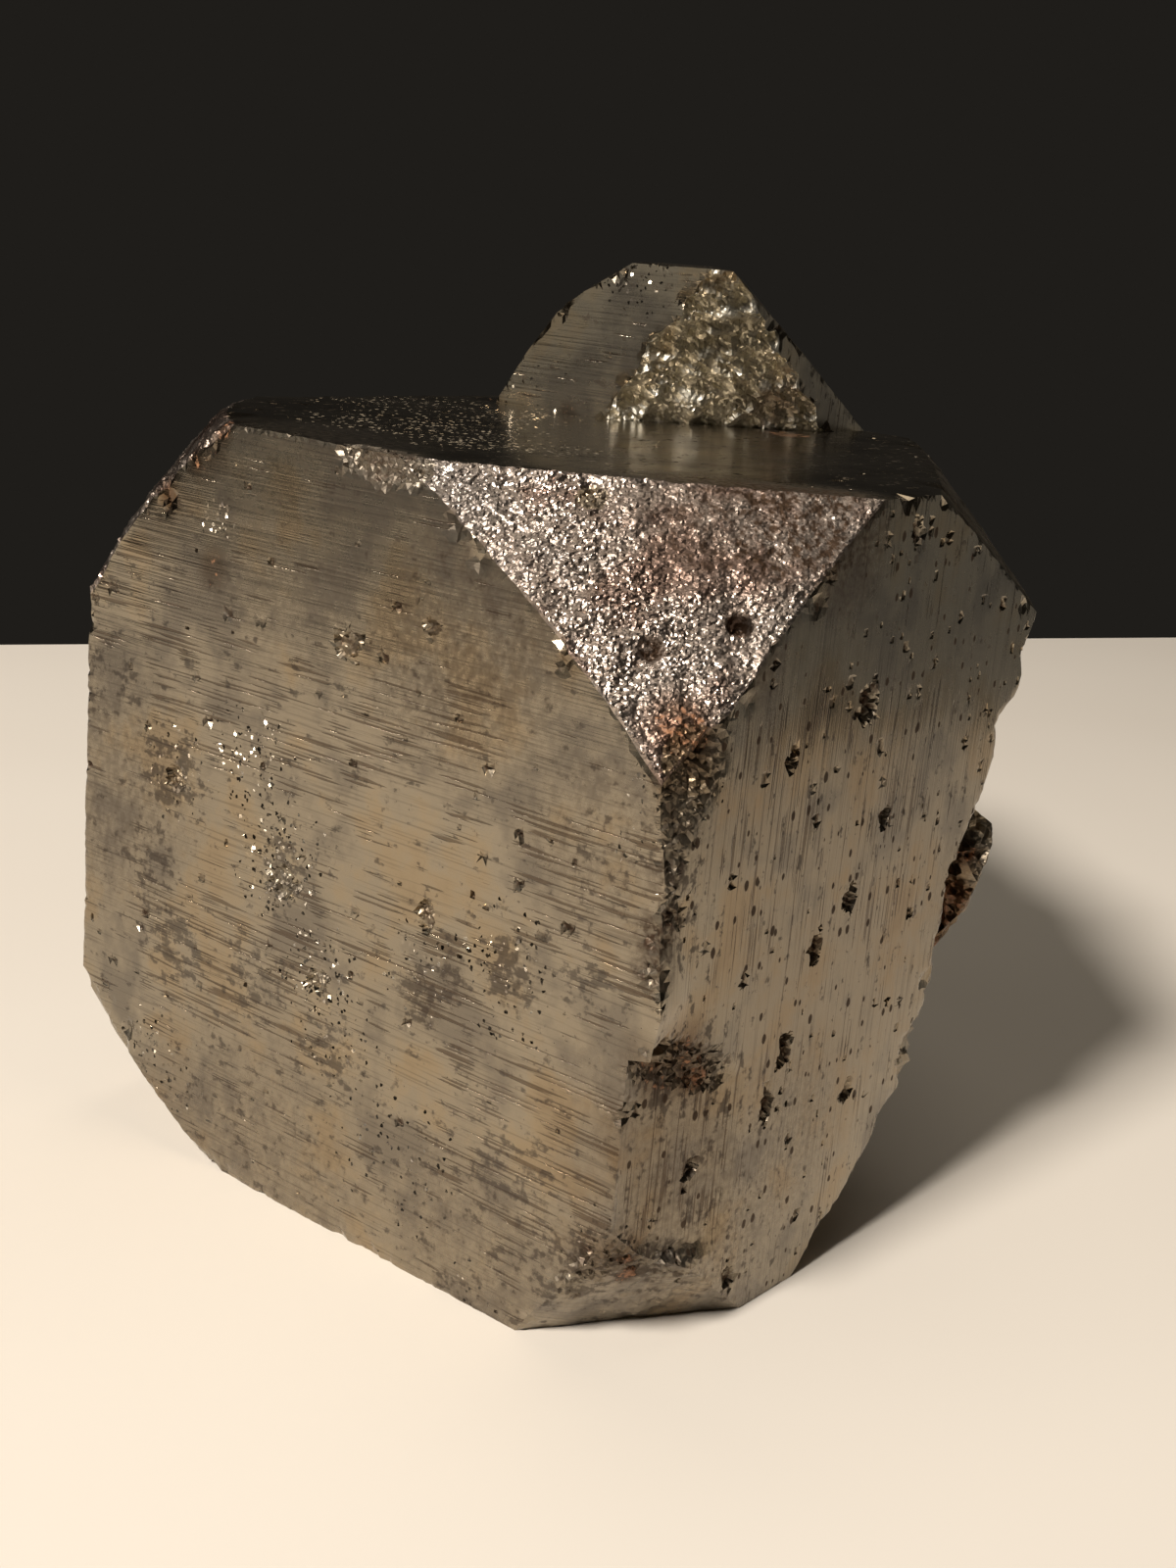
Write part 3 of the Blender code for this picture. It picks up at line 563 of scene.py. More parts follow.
# %% [markdown]
# ## Filling an outline
#
# The rim of a flat is shared with its neighbours. Inside it the rows are kept where they are
# clear of the rim, and a Delaunay triangulation joins everything to well-shaped triangles. It
# leaves no gap, so two flats that share their rim are closed together.

# %% Outlines and triangles
CHUNK = 4000
CLEARANCE = 0.45                    # of a row, from the rim
PIT_APART, ROW_APART = 0.08, 0.18   # between extra points, and from them to the rows


def inside(spots, outline, clearance):
    """Which places lie inside a closed outline, by counting crossings, and clear of it."""
    start, end = outline, np.roll(outline, -1, axis=0)
    run = end - start
    rise = np.where(run[:, 1] == 0, TINY ** 2, run[:, 1])
    keep = []
    for first in range(0, len(spots), CHUNK):
        some = spots[first:first + CHUNK]
        offset = some[:, None] - start
        share = np.clip((offset * run).sum(-1) / (run ** 2).sum(-1), 0, 1)
        gap = np.linalg.norm(offset - share[..., None] * run, axis=-1).min(axis=1)
        crossing = start[:, 0] + offset[..., 1] * run[:, 0] / rise
        straddles = (start[:, 1] > some[:, None, 1]) != (end[:, 1] > some[:, None, 1])
        odd = (straddles & (some[:, None, 0] < crossing)).sum(axis=1) % 2 == 1
        keep.append(odd & (gap > clearance))
    return np.concatenate(keep) if keep else np.zeros(0, bool)


def apart(spots, kept, distance):
    """The places that share no square of this width, nor one beside it, with a kept place."""
    if not len(kept) or not len(spots):
        return spots
    squares = np.floor(kept / distance).astype(np.int64)
    taken = (squares[:, None] + AROUND).reshape(-1, 2)
    own = np.floor(spots / distance).astype(np.int64)
    key = 1 << 20
    return spots[~np.isin(own[:, 0] * key + own[:, 1], taken[:, 0] * key + taken[:, 1])]


def one_each(spots, distance):
    """At most one place in each square of this width."""
    _, first = np.unique(np.floor(spots / distance).astype(np.int64), axis=0, return_index=True)
    return spots[np.sort(first)]


def places_inside(flat, outline):
    """A flat's extra places that lie inside an outline, and its rows' places clear of them."""
    clearance = CLEARANCE * min(flat.row, 1.0)
    extra = one_each(flat.pit_spots(), PIT_APART)
    extra = extra[inside(extra, outline, clearance)]
    rows = flat.row_spots(outline.min(axis=0), outline.max(axis=0))
    rows = rows[inside(rows, outline, clearance)]
    return np.concatenate([extra, apart(rows, extra, min(ROW_APART, flat.row / 2))])


def flat_triangles(outline, spots):
    """Triangles that fill an outline and use the places inside it."""
    places = np.concatenate([outline, spots]).tolist()
    found = delaunay_2d_cdt(places, [], [list(range(len(outline)))], 1, TINY)
    source = np.array([origin[0] for origin in found[3]])
    return source[np.array(found[2])]


print("the triangulation works on", CHUNK, "places at a time")

# %% [markdown]
# ## Worn and chipped edges
#
# A chip is a small round bite out of an edge, with a crumbly floor. The chips fall at random
# along all edges, a set distance apart on average.

# %% Chips
CHIP_SPACING = 14.0
CHIP_REACH, CHIP_DEPTH = (0.7, 1.8), (0.1, 0.4)
CRUMBLE, CRUMB_SIZE, CRUMB_SEED = 0.4, 1.1, 3


def chips_on_edges(rng, corners, edges):
    """Chips along the edges: for each its middle, its reach and its depth."""
    chips = []
    for first, last in edges:
        length = np.linalg.norm(corners[last] - corners[first])
        for _ in range(rng.poisson(length / CHIP_SPACING)):
            place = corners[first] + (corners[last] - corners[first]) * rng.uniform()
            chips.append((*place, rng.uniform(*CHIP_REACH), rng.uniform(*CHIP_DEPTH)))
    return np.array(chips).reshape(-1, 5)


def chip_depth(points, chips):
    """How far the deepest chip near each point sinks it, with a crumbly floor."""
    return marked(points, chips, 1.0) * (1 + CRUMBLE * waves(points, CRUMB_SIZE, CRUMB_SEED))


print("a chip reaches", CHIP_REACH, "mm and is", CHIP_DEPTH, "mm deep")

# %% [markdown]
# ## Edges that two flats share
#
# Each corner, and each point along an edge, sinks by the relief of all the flats it lies on at
# once, which is a small least-squares sum, so neighbouring flats still meet there. Near a corner
# an edge's points follow the corner's own shift.

# %% Edges
EDGE_STEP = 0.55
SOFTENING = 0.04                    # so that no point slides where two flats are nearly level
CORNER_FADE = 5.0


def pairs_of(loop):
    """Each corner of a loop with the next one."""
    return zip(loop, loop[1:] + loop[:1])


def corner_loops(facing, corners, owners):
    """For each flat that is left, its corners in order round its middle."""
    loops = {}
    for index in range(len(facing)):
        members = [number for number, trio in enumerate(owners) if index in trio]
        if len(members) < 3:
            continue
        middle = corners[members].mean(axis=0)
        right = unit(corners[members[0]] - middle)
        ahead = np.cross(facing[index], right)
        angles = [np.arctan2((corners[m] - middle) @ ahead, (corners[m] - middle) @ right)
                  for m in members]
        loops[index] = [members[place] for place in np.argsort(angles)]
    return loops


def points_on_edges(corners, owners, edges):
    """The corners and the points along the edges, the flats that each of them lies on, and the
    numbers of each edge's points."""
    points, members, runs = [*corners], [*owners], {}
    for first, last in edges:
        way = corners[last] - corners[first]
        count = max(1, round(np.linalg.norm(way) / EDGE_STEP))
        runs[first, last] = list(range(len(points), len(points) + count - 1))
        points += [corners[first] + way * share for share in np.arange(1, count) / count]
        members += [tuple(set(owners[first]) & set(owners[last]))] * (count - 1)
    return np.array(points), members, runs


def sink_edges(corners, points, members, runs, facing, depths):
    """The points of the edges where they have sunk, each by the depths of all its flats."""
    moved = points.copy()
    for number, owner in enumerate(members):
        rows = facing[list(owner)]
        stiff = rows @ rows.T + SOFTENING * np.eye(len(rows))
        moved[number] -= rows.T @ np.linalg.solve(stiff, depths[number, list(owner)])
    shift = moved - points
    for (first, last), run in runs.items():
        length = np.linalg.norm(corners[last] - corners[first])
        way = (corners[last] - corners[first]) / length
        shares = (np.arange(1, len(run) + 1) / (len(run) + 1))[:, None]
        between = shift[first] + (shift[last] - shift[first]) * shares
        slide = (between @ way)[:, None] * way
        own = np.clip(np.minimum(shares, 1 - shares) * length / CORNER_FADE, 0, 1)
        moved[run] = points[run] + slide + own * shift[run] + (1 - own) * (between - slide)
    return moved


print("points on an edge lie", EDGE_STEP, "mm apart")

# %% [markdown]
# ## Growing a crystal
#
# The edges sink first, by wear and chips as well as by their flats' relief. Then each flat is
# filled, and its own points sink square to it. The face it stands on stays level.

# %% Growing
RIM_SHARE = 0.3                     # of the finer relief, at the edges
WEAR, LEAST_WEAR, WEAR_SIZE = 0.09, 0.03, 1.6
PROUD_BACK = 0.12                   # how far anything may stand out at the back
UV_APART = 100.0                    # between two flats in the UV map
NESTED = 0.4                        # a triangle this deep among grains is a split surface


def grow_crystal(low, high, cuts, flats, finishes, plain_finish, seed):
    """One closed crystal: its points, triangles, places on its flats, kinds and marks."""
    named = crystal_flats(low, high, cuts, flats)
    names = list(named)
    facing, distance = (np.array(column) for column in zip(*named.values()))
    corners, owners = flat_corners(facing, distance)
    loops = corner_loops(facing, corners, owners)
    edges = sorted({tuple(sorted(pair)) for loop in loops.values() for pair in pairs_of(loop)})
    chips = chips_on_edges(np.random.default_rng(seed), corners, edges)
    surfaces = {index: Flat(names[index], facing[index], corners[loop], seed + 10 * index,
                            **finishes.get(names[index], plain_finish))
                for index, loop in loops.items()}

    edge_points, members, runs = points_on_edges(corners, owners, edges)
    wear = WEAR * np.abs(waves(edge_points, WEAR_SIZE, seed + 5)) + LEAST_WEAR
    worn = chip_depth(edge_points, chips) + wear
    depths = np.zeros((len(edge_points), len(names)))
    for index, surface in surfaces.items():
        if surface.name != "bottom":
            depths[:, index] = surface.depth(edge_points, RIM_SHARE)[0] + worn
    moved = sink_edges(corners, edge_points, members, runs, facing, depths)

    all_points, all_marks = [moved], [np.zeros((len(moved), PORE + 1))]
    triangles, places, kinds, bottom = [], [], [], []
    for index, loop in loops.items():
        surface = surfaces[index]
        rim = []
        for first, last in pairs_of(loop):
            run = runs[min(first, last), max(first, last)]
            rim += [first] + (run if first < last else run[::-1])
        outline = surface.axes_of(moved[rim])
        spots = places_inside(surface, outline)
        flat = surface.lift(spots)
        sunk, marks = surface.depth(flat)
        if surface.name == "bottom":
            sunk[:] = 0.0
            bottom = rim
        else:
            sunk += chip_depth(flat, chips)
        total = sum(map(len, all_points))
        numbers = np.array(rim + list(range(total, total + len(flat))))
        found = numbers[flat_triangles(outline, spots)]
        all_points.append(flat - sunk[:, None] * surface.facing)
        all_marks.append(marks)
        known = np.concatenate(all_points)
        a, b, c = (known[found[:, corner]] for corner in range(3))
        backwards = np.cross(b - a, c - a) @ surface.facing < 0
        found[backwards] = found[backwards][:, ::-1]
        triangles.append(found)
        places.append(surface.axes_of(known[found.ravel()]) + UV_APART * index)
        nested = np.concatenate(all_marks)[found, DEEP].mean(axis=1) > NESTED
        kinds.append(np.where(nested, KINDS.index("split"), KINDS.index(surface.kind)))
    points = np.concatenate(all_points)
    points[bottom, 2] = low[2]
    points[:, 2] = np.maximum(points[:, 2], low[2])
    points[:, 1] = np.minimum(points[:, 1], high[1] + PROUD_BACK)
    return (points, *map(np.concatenate, (triangles, places, kinds, all_marks)))


print("the rim keeps", RIM_SHARE, "of the finer relief")

# %% [markdown]
# ## The two large crystals
#
# Only what is seen from near needs a close mesh, so the front, the right flat and the corner get
# rows a few tenths of a millimetre apart, and the hidden faces rows over a millimetre apart.

# %% Finishes
QUICK = 1.0
MAIN_SEED, SMALL_SEED = 11, 503
FACE = dict(row=0.36 * QUICK, step=0.9 * QUICK, kind="striated", pits=110)
HIDDEN = dict(row=1.1, step=2.2, kind="striated", rough=0.10, lump=12.0, sway=0.05, pits=60)
CUT = dict(row=0.9, step=1.0, kind="plain", rough=0.07, lump=5.0, dome=1.9, pits=10)
SPLIT = dict(row=0.75, step=0.8, kind="split", rough=1.05, lump=7.0)
MAIN_FINISH = {
    "front": dict(FACE, sway=0.06, combs=FRONT_COMBS, nests=FRONT_PITS),
    "right": dict(FACE, sway=0.006, combs=RIGHT_COMBS, nests=RIGHT_PITS, shape=right_shape,
                  pits=230, pores=1.0),
    "top": dict(FACE, row=0.8, step=1.7, sway=0.05, pits=60),
    "left": HIDDEN,
    "back": HIDDEN,
    "bottom": dict(row=RESTING_ROW, step=RESTING_ROW, kind="plain"),
    "corner": dict(row=0.2 * QUICK, step=0.21 * QUICK, kind="grainy", rough=0.06, lump=2.2,
                   dome=1.4, holes=CORNER_HOLES),
    "front_left_top": dict(CUT, row=0.4, step=0.45, kind="grainy"),
    "front_left_bottom": dict(CUT, dome=2.3),
    "front_right_bottom": dict(CUT, row=0.4, step=0.45, rough=0.1, dome=0.0),
    "back_right_top": dict(CUT, dome=0.9),
    "broken_back": SPLIT,
    "back_foot": dict(SPLIT, rough=0.4, dome=1.2, row=1.0, step=1.1),
}
SMALL_FINISH = {
    "front": dict(FACE, row=0.42 * QUICK, step=0.9 * QUICK, sway=0.03, pits=8),
    "left_top_steep": dict(CUT, dome=0.4),
    "left_top_low": dict(CUT, dome=0.4),
    "back_right_top": dict(CUT, dome=0.4),
    "right": dict(HIDDEN, row=0.6, step=0.9, pits=4),
    "broken_front": dict(row=0.3 * QUICK, step=0.32 * QUICK, kind="broken", rough=0.6,
                         lump=3.6),
}

main_crystal = grow_crystal(MAIN_LOW, MAIN_HIGH, MAIN_CUTS, MAIN_FLATS, MAIN_FINISH, CUT,
                            MAIN_SEED)
small_crystal = grow_crystal(SMALL_LOW, SMALL_HIGH, SMALL_CUTS, SMALL_FLATS, SMALL_FINISH,
                             HIDDEN, SMALL_SEED)
print("large crystal:", len(main_crystal[1]), "triangles; small:", len(small_crystal[1]))

# %% [markdown]
# ## The knots on the broken back
#
# Little crystals with all eight corners cut, each turned its own way. They are made like the
# others and joined in one mesh.

# %% Knots
# Each knot's middle, its width, and its turn about x, y and z in degrees
KNOTS = (
    ((32.0, 12.4, 36.0), 9.5, (20, 12, 30)),
    ((31.6, 10.2, 29.4), 7.0, (-25, 30, 10)),
    ((24.5, 17.5, 30.0), 7.0, (10, 50, 20)),
    ((6.0, 26.5, 31.0), 13.0, (15, -20, 40)),
)
KNOT_CUT = 0.28                     # of a knot's width, taken off each corner
KNOT_FACE = dict(row=0.5, step=0.6, kind="split", rough=0.25, lump=4.0)
KNOT_SEED, KNOT_SEED_STEP = 900, 40


def turned(points, middle, degrees):
    """Points turned about the three axes through a middle."""
    for axis, angle in enumerate(np.radians(degrees)):
        ahead, up = (axis + 1) % 3, (axis + 2) % 3
        turn = np.eye(3)
        turn[ahead, ahead] = turn[up, up] = np.cos(angle)
        turn[ahead, up], turn[up, ahead] = -np.sin(angle), np.sin(angle)
        points = (points - middle) @ turn.T + middle
    return points


def grow_knot(middle, width, turn, seed):
    """One little crystal of a knot."""
    half = width / 2
    legs = (KNOT_CUT * width,) * 3
    sides = [(x, y, z) for x in (-1, 1) for y in (-1, 1) for z in (-1, 1)]
    cuts = {f"cut_{number}": (side, legs) for number, side in enumerate(sides)}
    low, high = np.array(middle) - half, np.array(middle) + half
    points, *rest = grow_crystal(low, high, cuts, {}, {}, KNOT_FACE, seed)
    return (turned(points, np.array(middle), turn), *rest)


def joined(parts):
    """Several meshes in one, the triangles of each counted on from the one before."""
    starts = np.cumsum([0] + [len(part[0]) for part in parts[:-1]])
    points, triangles, *rest = zip(*parts)
    shifted = [found + start for found, start in zip(triangles, starts)]
    return tuple(map(np.concatenate, (points, shifted, *rest)))


knots = joined([grow_knot(*knot, KNOT_SEED + KNOT_SEED_STEP * number)
                for number, knot in enumerate(KNOTS)])
print("knots:", len(knots[1]), "triangles")

# %% [markdown]
# ## Colours and one helper for nodes
#
# Colours are picked as sRGB hex values, as in any paint program, and turned to the linear values
# that a shader works with. One helper adds a node, sets its values and links its inputs.

# %% Colours and nodes


def linear(hex_colour):
    """An sRGB hex colour as linear red, green, blue and an alpha of one."""
    channels = [int(hex_colour[place:place + 2], 16) / 255 for place in (1, 3, 5)]
    return (*[c / 12.92 if c <= 0.04045 else ((c + 0.055) / 1.055) ** 2.4 for c in channels], 1.0)


def add(tree, kind, inputs, output=0, **settings):
    """Add a node with its settings and its inputs, each one a value or another node's output,
    and give back one of its own outputs."""
    made = tree.nodes.new("ShaderNode" + kind)
    for name, value in settings.items():
        setattr(made, name, value)
    for key, value in inputs.items():
        if isinstance(value, bpy.types.NodeSocket):
            tree.links.new(value, made.inputs[key])
        else:
            made.inputs[key].default_value = value
    return made.outputs[output]


PYRITE, PYRITE_GREY, PYRITE_TAN = linear("#998F7E"), linear("#827A6E"), linear("#A2937B")
# The pit colour is the brown dirt in pits and grooves, and the painted shade of the dull places
DIRT_COLOUR, PIT_AND_SHADE_COLOUR = linear("#4A433E"), linear("#4C3D31")
RUST_DARK, RUST_LIGHT, STAIN = linear("#5A3D2A"), linear("#9C6E4C"), linear("#8A6A50")
TINTS = (PYRITE_GREY, PYRITE, PYRITE_TAN)
PALE_TINTS = (linear("#9C938B"), linear("#C0B3A8"), linear("#B8A296"))
# The broken face's tints are near white: a paler fresh break, and painted light on a face that
# looks down
BROKEN_PAINTED_LIGHT_TINTS = (linear("#CCC8BA"), linear("#ECE8DA"), linear("#DAD0BB"))
print("pyrite in linear light:", [round(c, 3) for c in PYRITE[:3]])

# %% [markdown]
# ## Pyrite, as it grew
#
# Pyrite is a metal to the eye: it has no colour under its surface, only coloured reflections. A
# natural cube face isn't polished. It is covered in growth lines a tenth of a millimetre wide,
# which smear reflections across the grain and leave them sharp along it. Bump from a stretched
# noise does that, drawn 0.2 mm wide so that it shows. It follows the grain by a UV map, which
# holds each place on its flat in millimetres. Dark grooves crowd in the combs, darkened in part
# as painted shade. Dirt, rust, painted shade and sparkling grains come from the points' own
# marks, each broken up by a noise.

# %% Noises
# Along the grain: how long and how wide a noise's lumps are in millimetres, and its detail
ALONG = {"fine": (12.0, 0.22, 2.0), "wide": (30.0, 1.3, 1.0), "groove": (10.0, 0.24, 0.0),
         "crowd": (6.0, 2.2, 1.0), "blot": (3.0, 1.1, 4.0)}
# In space: how wide a noise's lumps are in millimetres, and its detail
ROUND = {"patch": (10.0, 5.0), "crumb": (0.7, 3.0)}
ROUND_ROUGHNESS = 0.6
MARKS = ("dark", "comb", "pore", "dirt", "rust", "sparkle")
# From a noise to a share: which noise, where it starts and ends to count, least and most share
RAMPS = {
    "second_tint": ("patch", 0.38, 0.48, 0.0, 1.0),
    "third_tint": ("patch", 0.51, 0.61, 0.0, 1.0),
    "thin_line": ("fine", 0.44, 0.3, 0.0, 0.35),
    "light_rust": ("crumb", 0.4, 0.65, 0.0, 1.0),
    "speck": ("crumb", 0.38, 0.62, 0.4, 1.4),
}
SHINE = ("patch", 0.65, 0.35)       # the same for the roughness, from the least to the most
# From a mark to a share: which mark, how much it adds to which noise, where the sum starts and
# ends to count, and the most share. A brown film lies round the rust, a crust where it is thick.
COVERS = {
    "soiled": ("dirt", 0.34, "blots", 1.17, 1.33, 0.62),
    "film": ("rust", 0.9, "patch", 0.55, 1.2, 0.8),
    "crust": ("rust", 0.55, "crumb", 0.94, 1.04, 1.0),
}


def add_marks_and_noises(tree, place, space):
    """The marks and the noises by their names, the noises on the grain's map or in space."""
    mark = {key: add(tree, "Attribute", {}, "Fac", attribute_name=key) for key in MARKS}
    noise = {}
    for key, (length, width, detail) in ALONG.items():
        spot = add(tree, "Mapping", {"Vector": place, "Scale": (1 / length, 1 / width, 1.0)})
        noise[key] = add(tree, "TexNoise", {"Vector": spot, "Scale": 1.0, "Detail": detail},
                         noise_dimensions="2D")
    for key, (size, detail) in ROUND.items():
        noise[key] = add(tree, "TexNoise", {"Vector": space, "Scale": 1 / (size * MM),
                                            "Detail": detail, "Roughness": ROUND_ROUGHNESS})
    noise["blots"] = add(tree, "Math", {0: noise["blot"], 1: noise["crumb"]}, operation="ADD")
    return mark, noise


def add_shares(tree, mark, noise, gloss):
    """The shares of the ramps and the covers by their names, and the roughness as "shine"."""
    share = {}
    for key, (source, start, end, least, most) in dict(RAMPS, shine=(*SHINE, *gloss)).items():
        share[key] = add(tree, "MapRange", {"Value": noise[source], "From Min": start,
                                            "From Max": end, "To Min": least, "To Max": most})
    for key, (source, gain, breaker, start, end, most) in COVERS.items():
        total = add(tree, "Math", {0: mark[source], 1: gain, 2: noise[breaker]},
                    operation="MULTIPLY_ADD")
        share[key] = add(tree, "MapRange", {"Value": total, "From Min": start, "From Max": end,
                                            "To Max": most})
    return share


print(len(ALONG) + len(ROUND), "noises,", len(RAMPS), "ramps and", len(COVERS), "covers")

# %% Dark places and grooves
# One over the width of a pore's cell in millimetres, along the grain and across it
PORE_CELL = (1 / 2.6, 1 / 1.7, 1.0)
# How much of a cell a pore takes, how ragged its rim is, the rim's edges, and its darkness
PORE_WIDTH, PORE_RAGGED, PORE_RIM, PORE_DARK = 0.5, 0.12, (-0.22, -0.27), 0.9
# How much a comb adds to the crowd, and its limit, so that the grooves never run together
COMB_CROWD, MOST_CROWDED = 0.27, 0.81
GROOVE_EDGE = (1.37, 1.43)
# How high the wide swellings are and how deep the grooves, to fine lines of one
WIDE_HIGH, GROOVE_DEEP = 1.5, 1.5


def add_dark(tree, place, mark, noise, share):
    """How dark it is: the dark marks, broken up, or pores in some cells of a mosaic."""
    dark = add(tree, "Math", {0: mark["dark"], 1: share["speck"]}, operation="MULTIPLY",
               use_clamp=True)
    cells = {"Vector": add(tree, "Mapping", {"Vector": place, "Scale": PORE_CELL}), "Scale": 1.0}
    gap, own = (add(tree, "TexVoronoi", cells, output, voronoi_dimensions="2D")
                for output in ("Distance", "Color"))
    width = add(tree, "SeparateColor", {"Color": own})
    width = add(tree, "Math", {0: width, 1: mark["pore"]}, operation="MULTIPLY")
    pore = add(tree, "Math", {0: width, 1: -PORE_WIDTH, 2: gap}, operation="MULTIPLY_ADD")
    pore = add(tree, "Math", {0: noise["crumb"], 1: PORE_RAGGED, 2: pore},
               operation="MULTIPLY_ADD")
    pore = add(tree, "MapRange", {"Value": pore, "From Min": PORE_RIM[0],
                                  "From Max": PORE_RIM[1], "To Max": PORE_DARK})
    return add(tree, "Math", {0: dark, 1: pore}, operation="MAXIMUM")


def add_lines(tree, mark, noise, line_depth):
    """The thin dark grooves, most of them in the combs, and the normal over all growth lines."""
    crowd = add(tree, "Math", {0: mark["comb"], 1: COMB_CROWD, 2: noise["crowd"]},
                operation="MULTIPLY_ADD")
    crowd = add(tree, "Math", {0: crowd, 1: MOST_CROWDED}, operation="MINIMUM")
    both = add(tree, "Math", {0: crowd, 1: noise["groove"]}, operation="ADD")
    grooves = add(tree, "MapRange", {"Value": both, "From Min": GROOVE_EDGE[0],
                                     "From Max": GROOVE_EDGE[1]})
    lines = add(tree, "Math", {0: noise["wide"], 1: WIDE_HIGH, 2: noise["fine"]},
                operation="MULTIPLY_ADD")
    height = add(tree, "Math", {0: grooves, 1: -GROOVE_DEEP, 2: lines}, operation="MULTIPLY_ADD")
    normal = add(tree, "Bump", {"Strength": 1.0, "Distance": line_depth * MM, "Height": height})
    return grooves, normal


print("a pore's cell is", [round(1 / share, 1) for share in PORE_CELL[:2]], "mm long and wide")

# %% Glitter
# A grain's lean is its own random numbers less these: most grains lean up and to the right
LEAN_MIDDLE = (0.35, 0.5, 0.3)
# How much a sparkle mark adds to a grain's chance, the chance it needs, and how far it leans
SPARKLE_GAIN, LUCKY, SPARKLE_LEAN = 0.22, (1.0, 1.001), 1.2
LOST_LEAN = 0.7                     # how much of its lean a dark grain loses


def add_glitter(tree, space, mark, dark, normal, glitter, grain_size):
    """The normal plus each grain's own lean: of all grains on a grainy face, and elsewhere of
    a few that sparkle."""
    cells = {"Vector": space, "Scale": 1 / (grain_size * MM)}
    cell = add(tree, "TexVoronoi", cells, "Color")
    chance = add(tree, "SeparateColor", {"Color": cell})
    lucky = add(tree, "Math", {0: mark["sparkle"], 1: SPARKLE_GAIN, 2: chance},
                operation="MULTIPLY_ADD")
    lucky = add(tree, "MapRange", {"Value": lucky, "From Min": LUCKY[0], "From Max": LUCKY[1],
                                   "To Min": glitter, "To Max": SPARKLE_LEAN})
    clean = add(tree, "Math", {0: dark, 1: -LOST_LEAN, 2: 1.0}, operation="MULTIPLY_ADD")
    share = add(tree, "Math", {0: lucky, 1: clean}, operation="MULTIPLY")
    lean = add(tree, "VectorMath", {0: cell, 1: LEAN_MIDDLE}, operation="SUBTRACT")
    leaning = add(tree, "VectorMath", {0: lean, "Scale": share}, operation="SCALE")
    tilted = add(tree, "VectorMath", {0: normal, 1: leaning}, operation="ADD")
    return add(tree, "VectorMath", {0: tilted}, operation="NORMALIZE")


print("a sparkling grain leans up to", SPARKLE_LEAN, "times its random numbers")

# %% Pyrite
MATT = 0.65                         # the roughness of dirt, pits and rust


def pyrite(name, tints, line_depth, gloss, dash, glitter, grain_size):
    """Natural pyrite, in patches of three tints. Line depth is in millimetres, gloss is the
    least and the most roughness, dash is how dark the grooves are painted, part of it as shade,
    and glitter is how far its grains of this size lean. Rust isn't metal, and dirt, pits, rust
    and the painted shade of the dark marks are matt."""
    material = bpy.data.materials.new(name)
    material.use_nodes = True
    tree = material.node_tree
    place = add(tree, "UVMap", {}, uv_map="grain")
    space = add(tree, "TexCoord", {}, "Object")
    mark, noise = add_marks_and_noises(tree, place, space)
    share = add_shares(tree, mark, noise, gloss)
    dark = add_dark(tree, place, mark, noise, share)
    grooves, normal = add_lines(tree, mark, noise, line_depth)
    # The grooves are sunk by the bump and also painted darker: part brown dirt in them, part
    # painted shade
    cut = add(tree, "Math", {0: grooves, 1: dash}, operation="MULTIPLY")
    rust = add(tree, "Mix", {0: share["light_rust"], 6: RUST_DARK, 7: RUST_LIGHT}, 2,
               data_type="RGBA")
    colour = tints[0]
    # The dark mark lays the pit colour over pits, dull spots and the patches of painted shade
    for cover, shade, blend in (
            (share["second_tint"], tints[1], "MIX"), (share["third_tint"], tints[2], "MIX"),
            (share["thin_line"], DIRT_COLOUR, "MIX"), (cut, PIT_AND_SHADE_COLOUR, "MIX"),
            (share["soiled"], DIRT_COLOUR, "MIX"), (dark, PIT_AND_SHADE_COLOUR, "MIX"),
            (share["film"], STAIN, "MULTIPLY"), (share["crust"], rust, "MIX")):
        colour = add(tree, "Mix", {0: cover, 6: colour, 7: shade}, 2, data_type="RGBA",
                     blend_type=blend)
    matt = add(tree, "Math", {0: share["soiled"], 1: dark}, operation="MAXIMUM")
    matt = add(tree, "Math", {0: matt, 1: share["crust"]}, operation="MAXIMUM")
    results = {
        "Base Color": colour,
        "Metallic": add(tree, "Math", {0: 1.0, 1: share["crust"]}, operation="SUBTRACT"),
        "Roughness": add(tree, "MapRange", {"Value": matt, "To Min": share["shine"],
                                            "To Max": MATT}),
        "Normal": add_glitter(tree, space, mark, dark, normal, glitter, grain_size),
    }
    for socket, value in results.items():
        tree.links.new(value, tree.nodes["Principled BSDF"].inputs[socket])
    return material


# The growth faces smear reflections across their lines. The grainy corner glitters. The broken
# surface is a fresh pale break whose coarse grains scatter the light; its near-white tints are
# partly painted light, which brightens this downward face. The split back is an older, darker
# break. The cut corners are nearly plain, with a faint glitter.
MATERIALS = {
    "striated": pyrite("pyrite_growth_face", TINTS, 0.014, (0.13, 0.24), 0.62, 0.0, 0.3),
    "grainy": pyrite("pyrite_grainy_corner", PALE_TINTS, 0.004, (0.25, 0.35), 0.0, 0.5, 0.2),
    "broken": pyrite("pyrite_broken_surface", BROKEN_PAINTED_LIGHT_TINTS, 0.004, (0.48, 0.56), 0.0, 0.5, 0.3),
    "split": pyrite("pyrite_split_back", TINTS, 0.004, (0.34, 0.44), 0.0, 0.4, 0.35),
    "plain": pyrite("pyrite_cut_face", TINTS, 0.010, (0.24, 0.34), 0.1, 0.08, 0.3),
}
print("materials:", [material.name for material in MATERIALS.values()])

# %% [markdown]
# ## Meshes
#
# Each crystal becomes one object whose points are already in place. A cube face is shaded
# smooth, but an edge sharper than the limit stays crisp, so ledges and pits keep their corners.
# Grainy and broken surfaces are shaded flat, because every grain there is a mirror of its own.

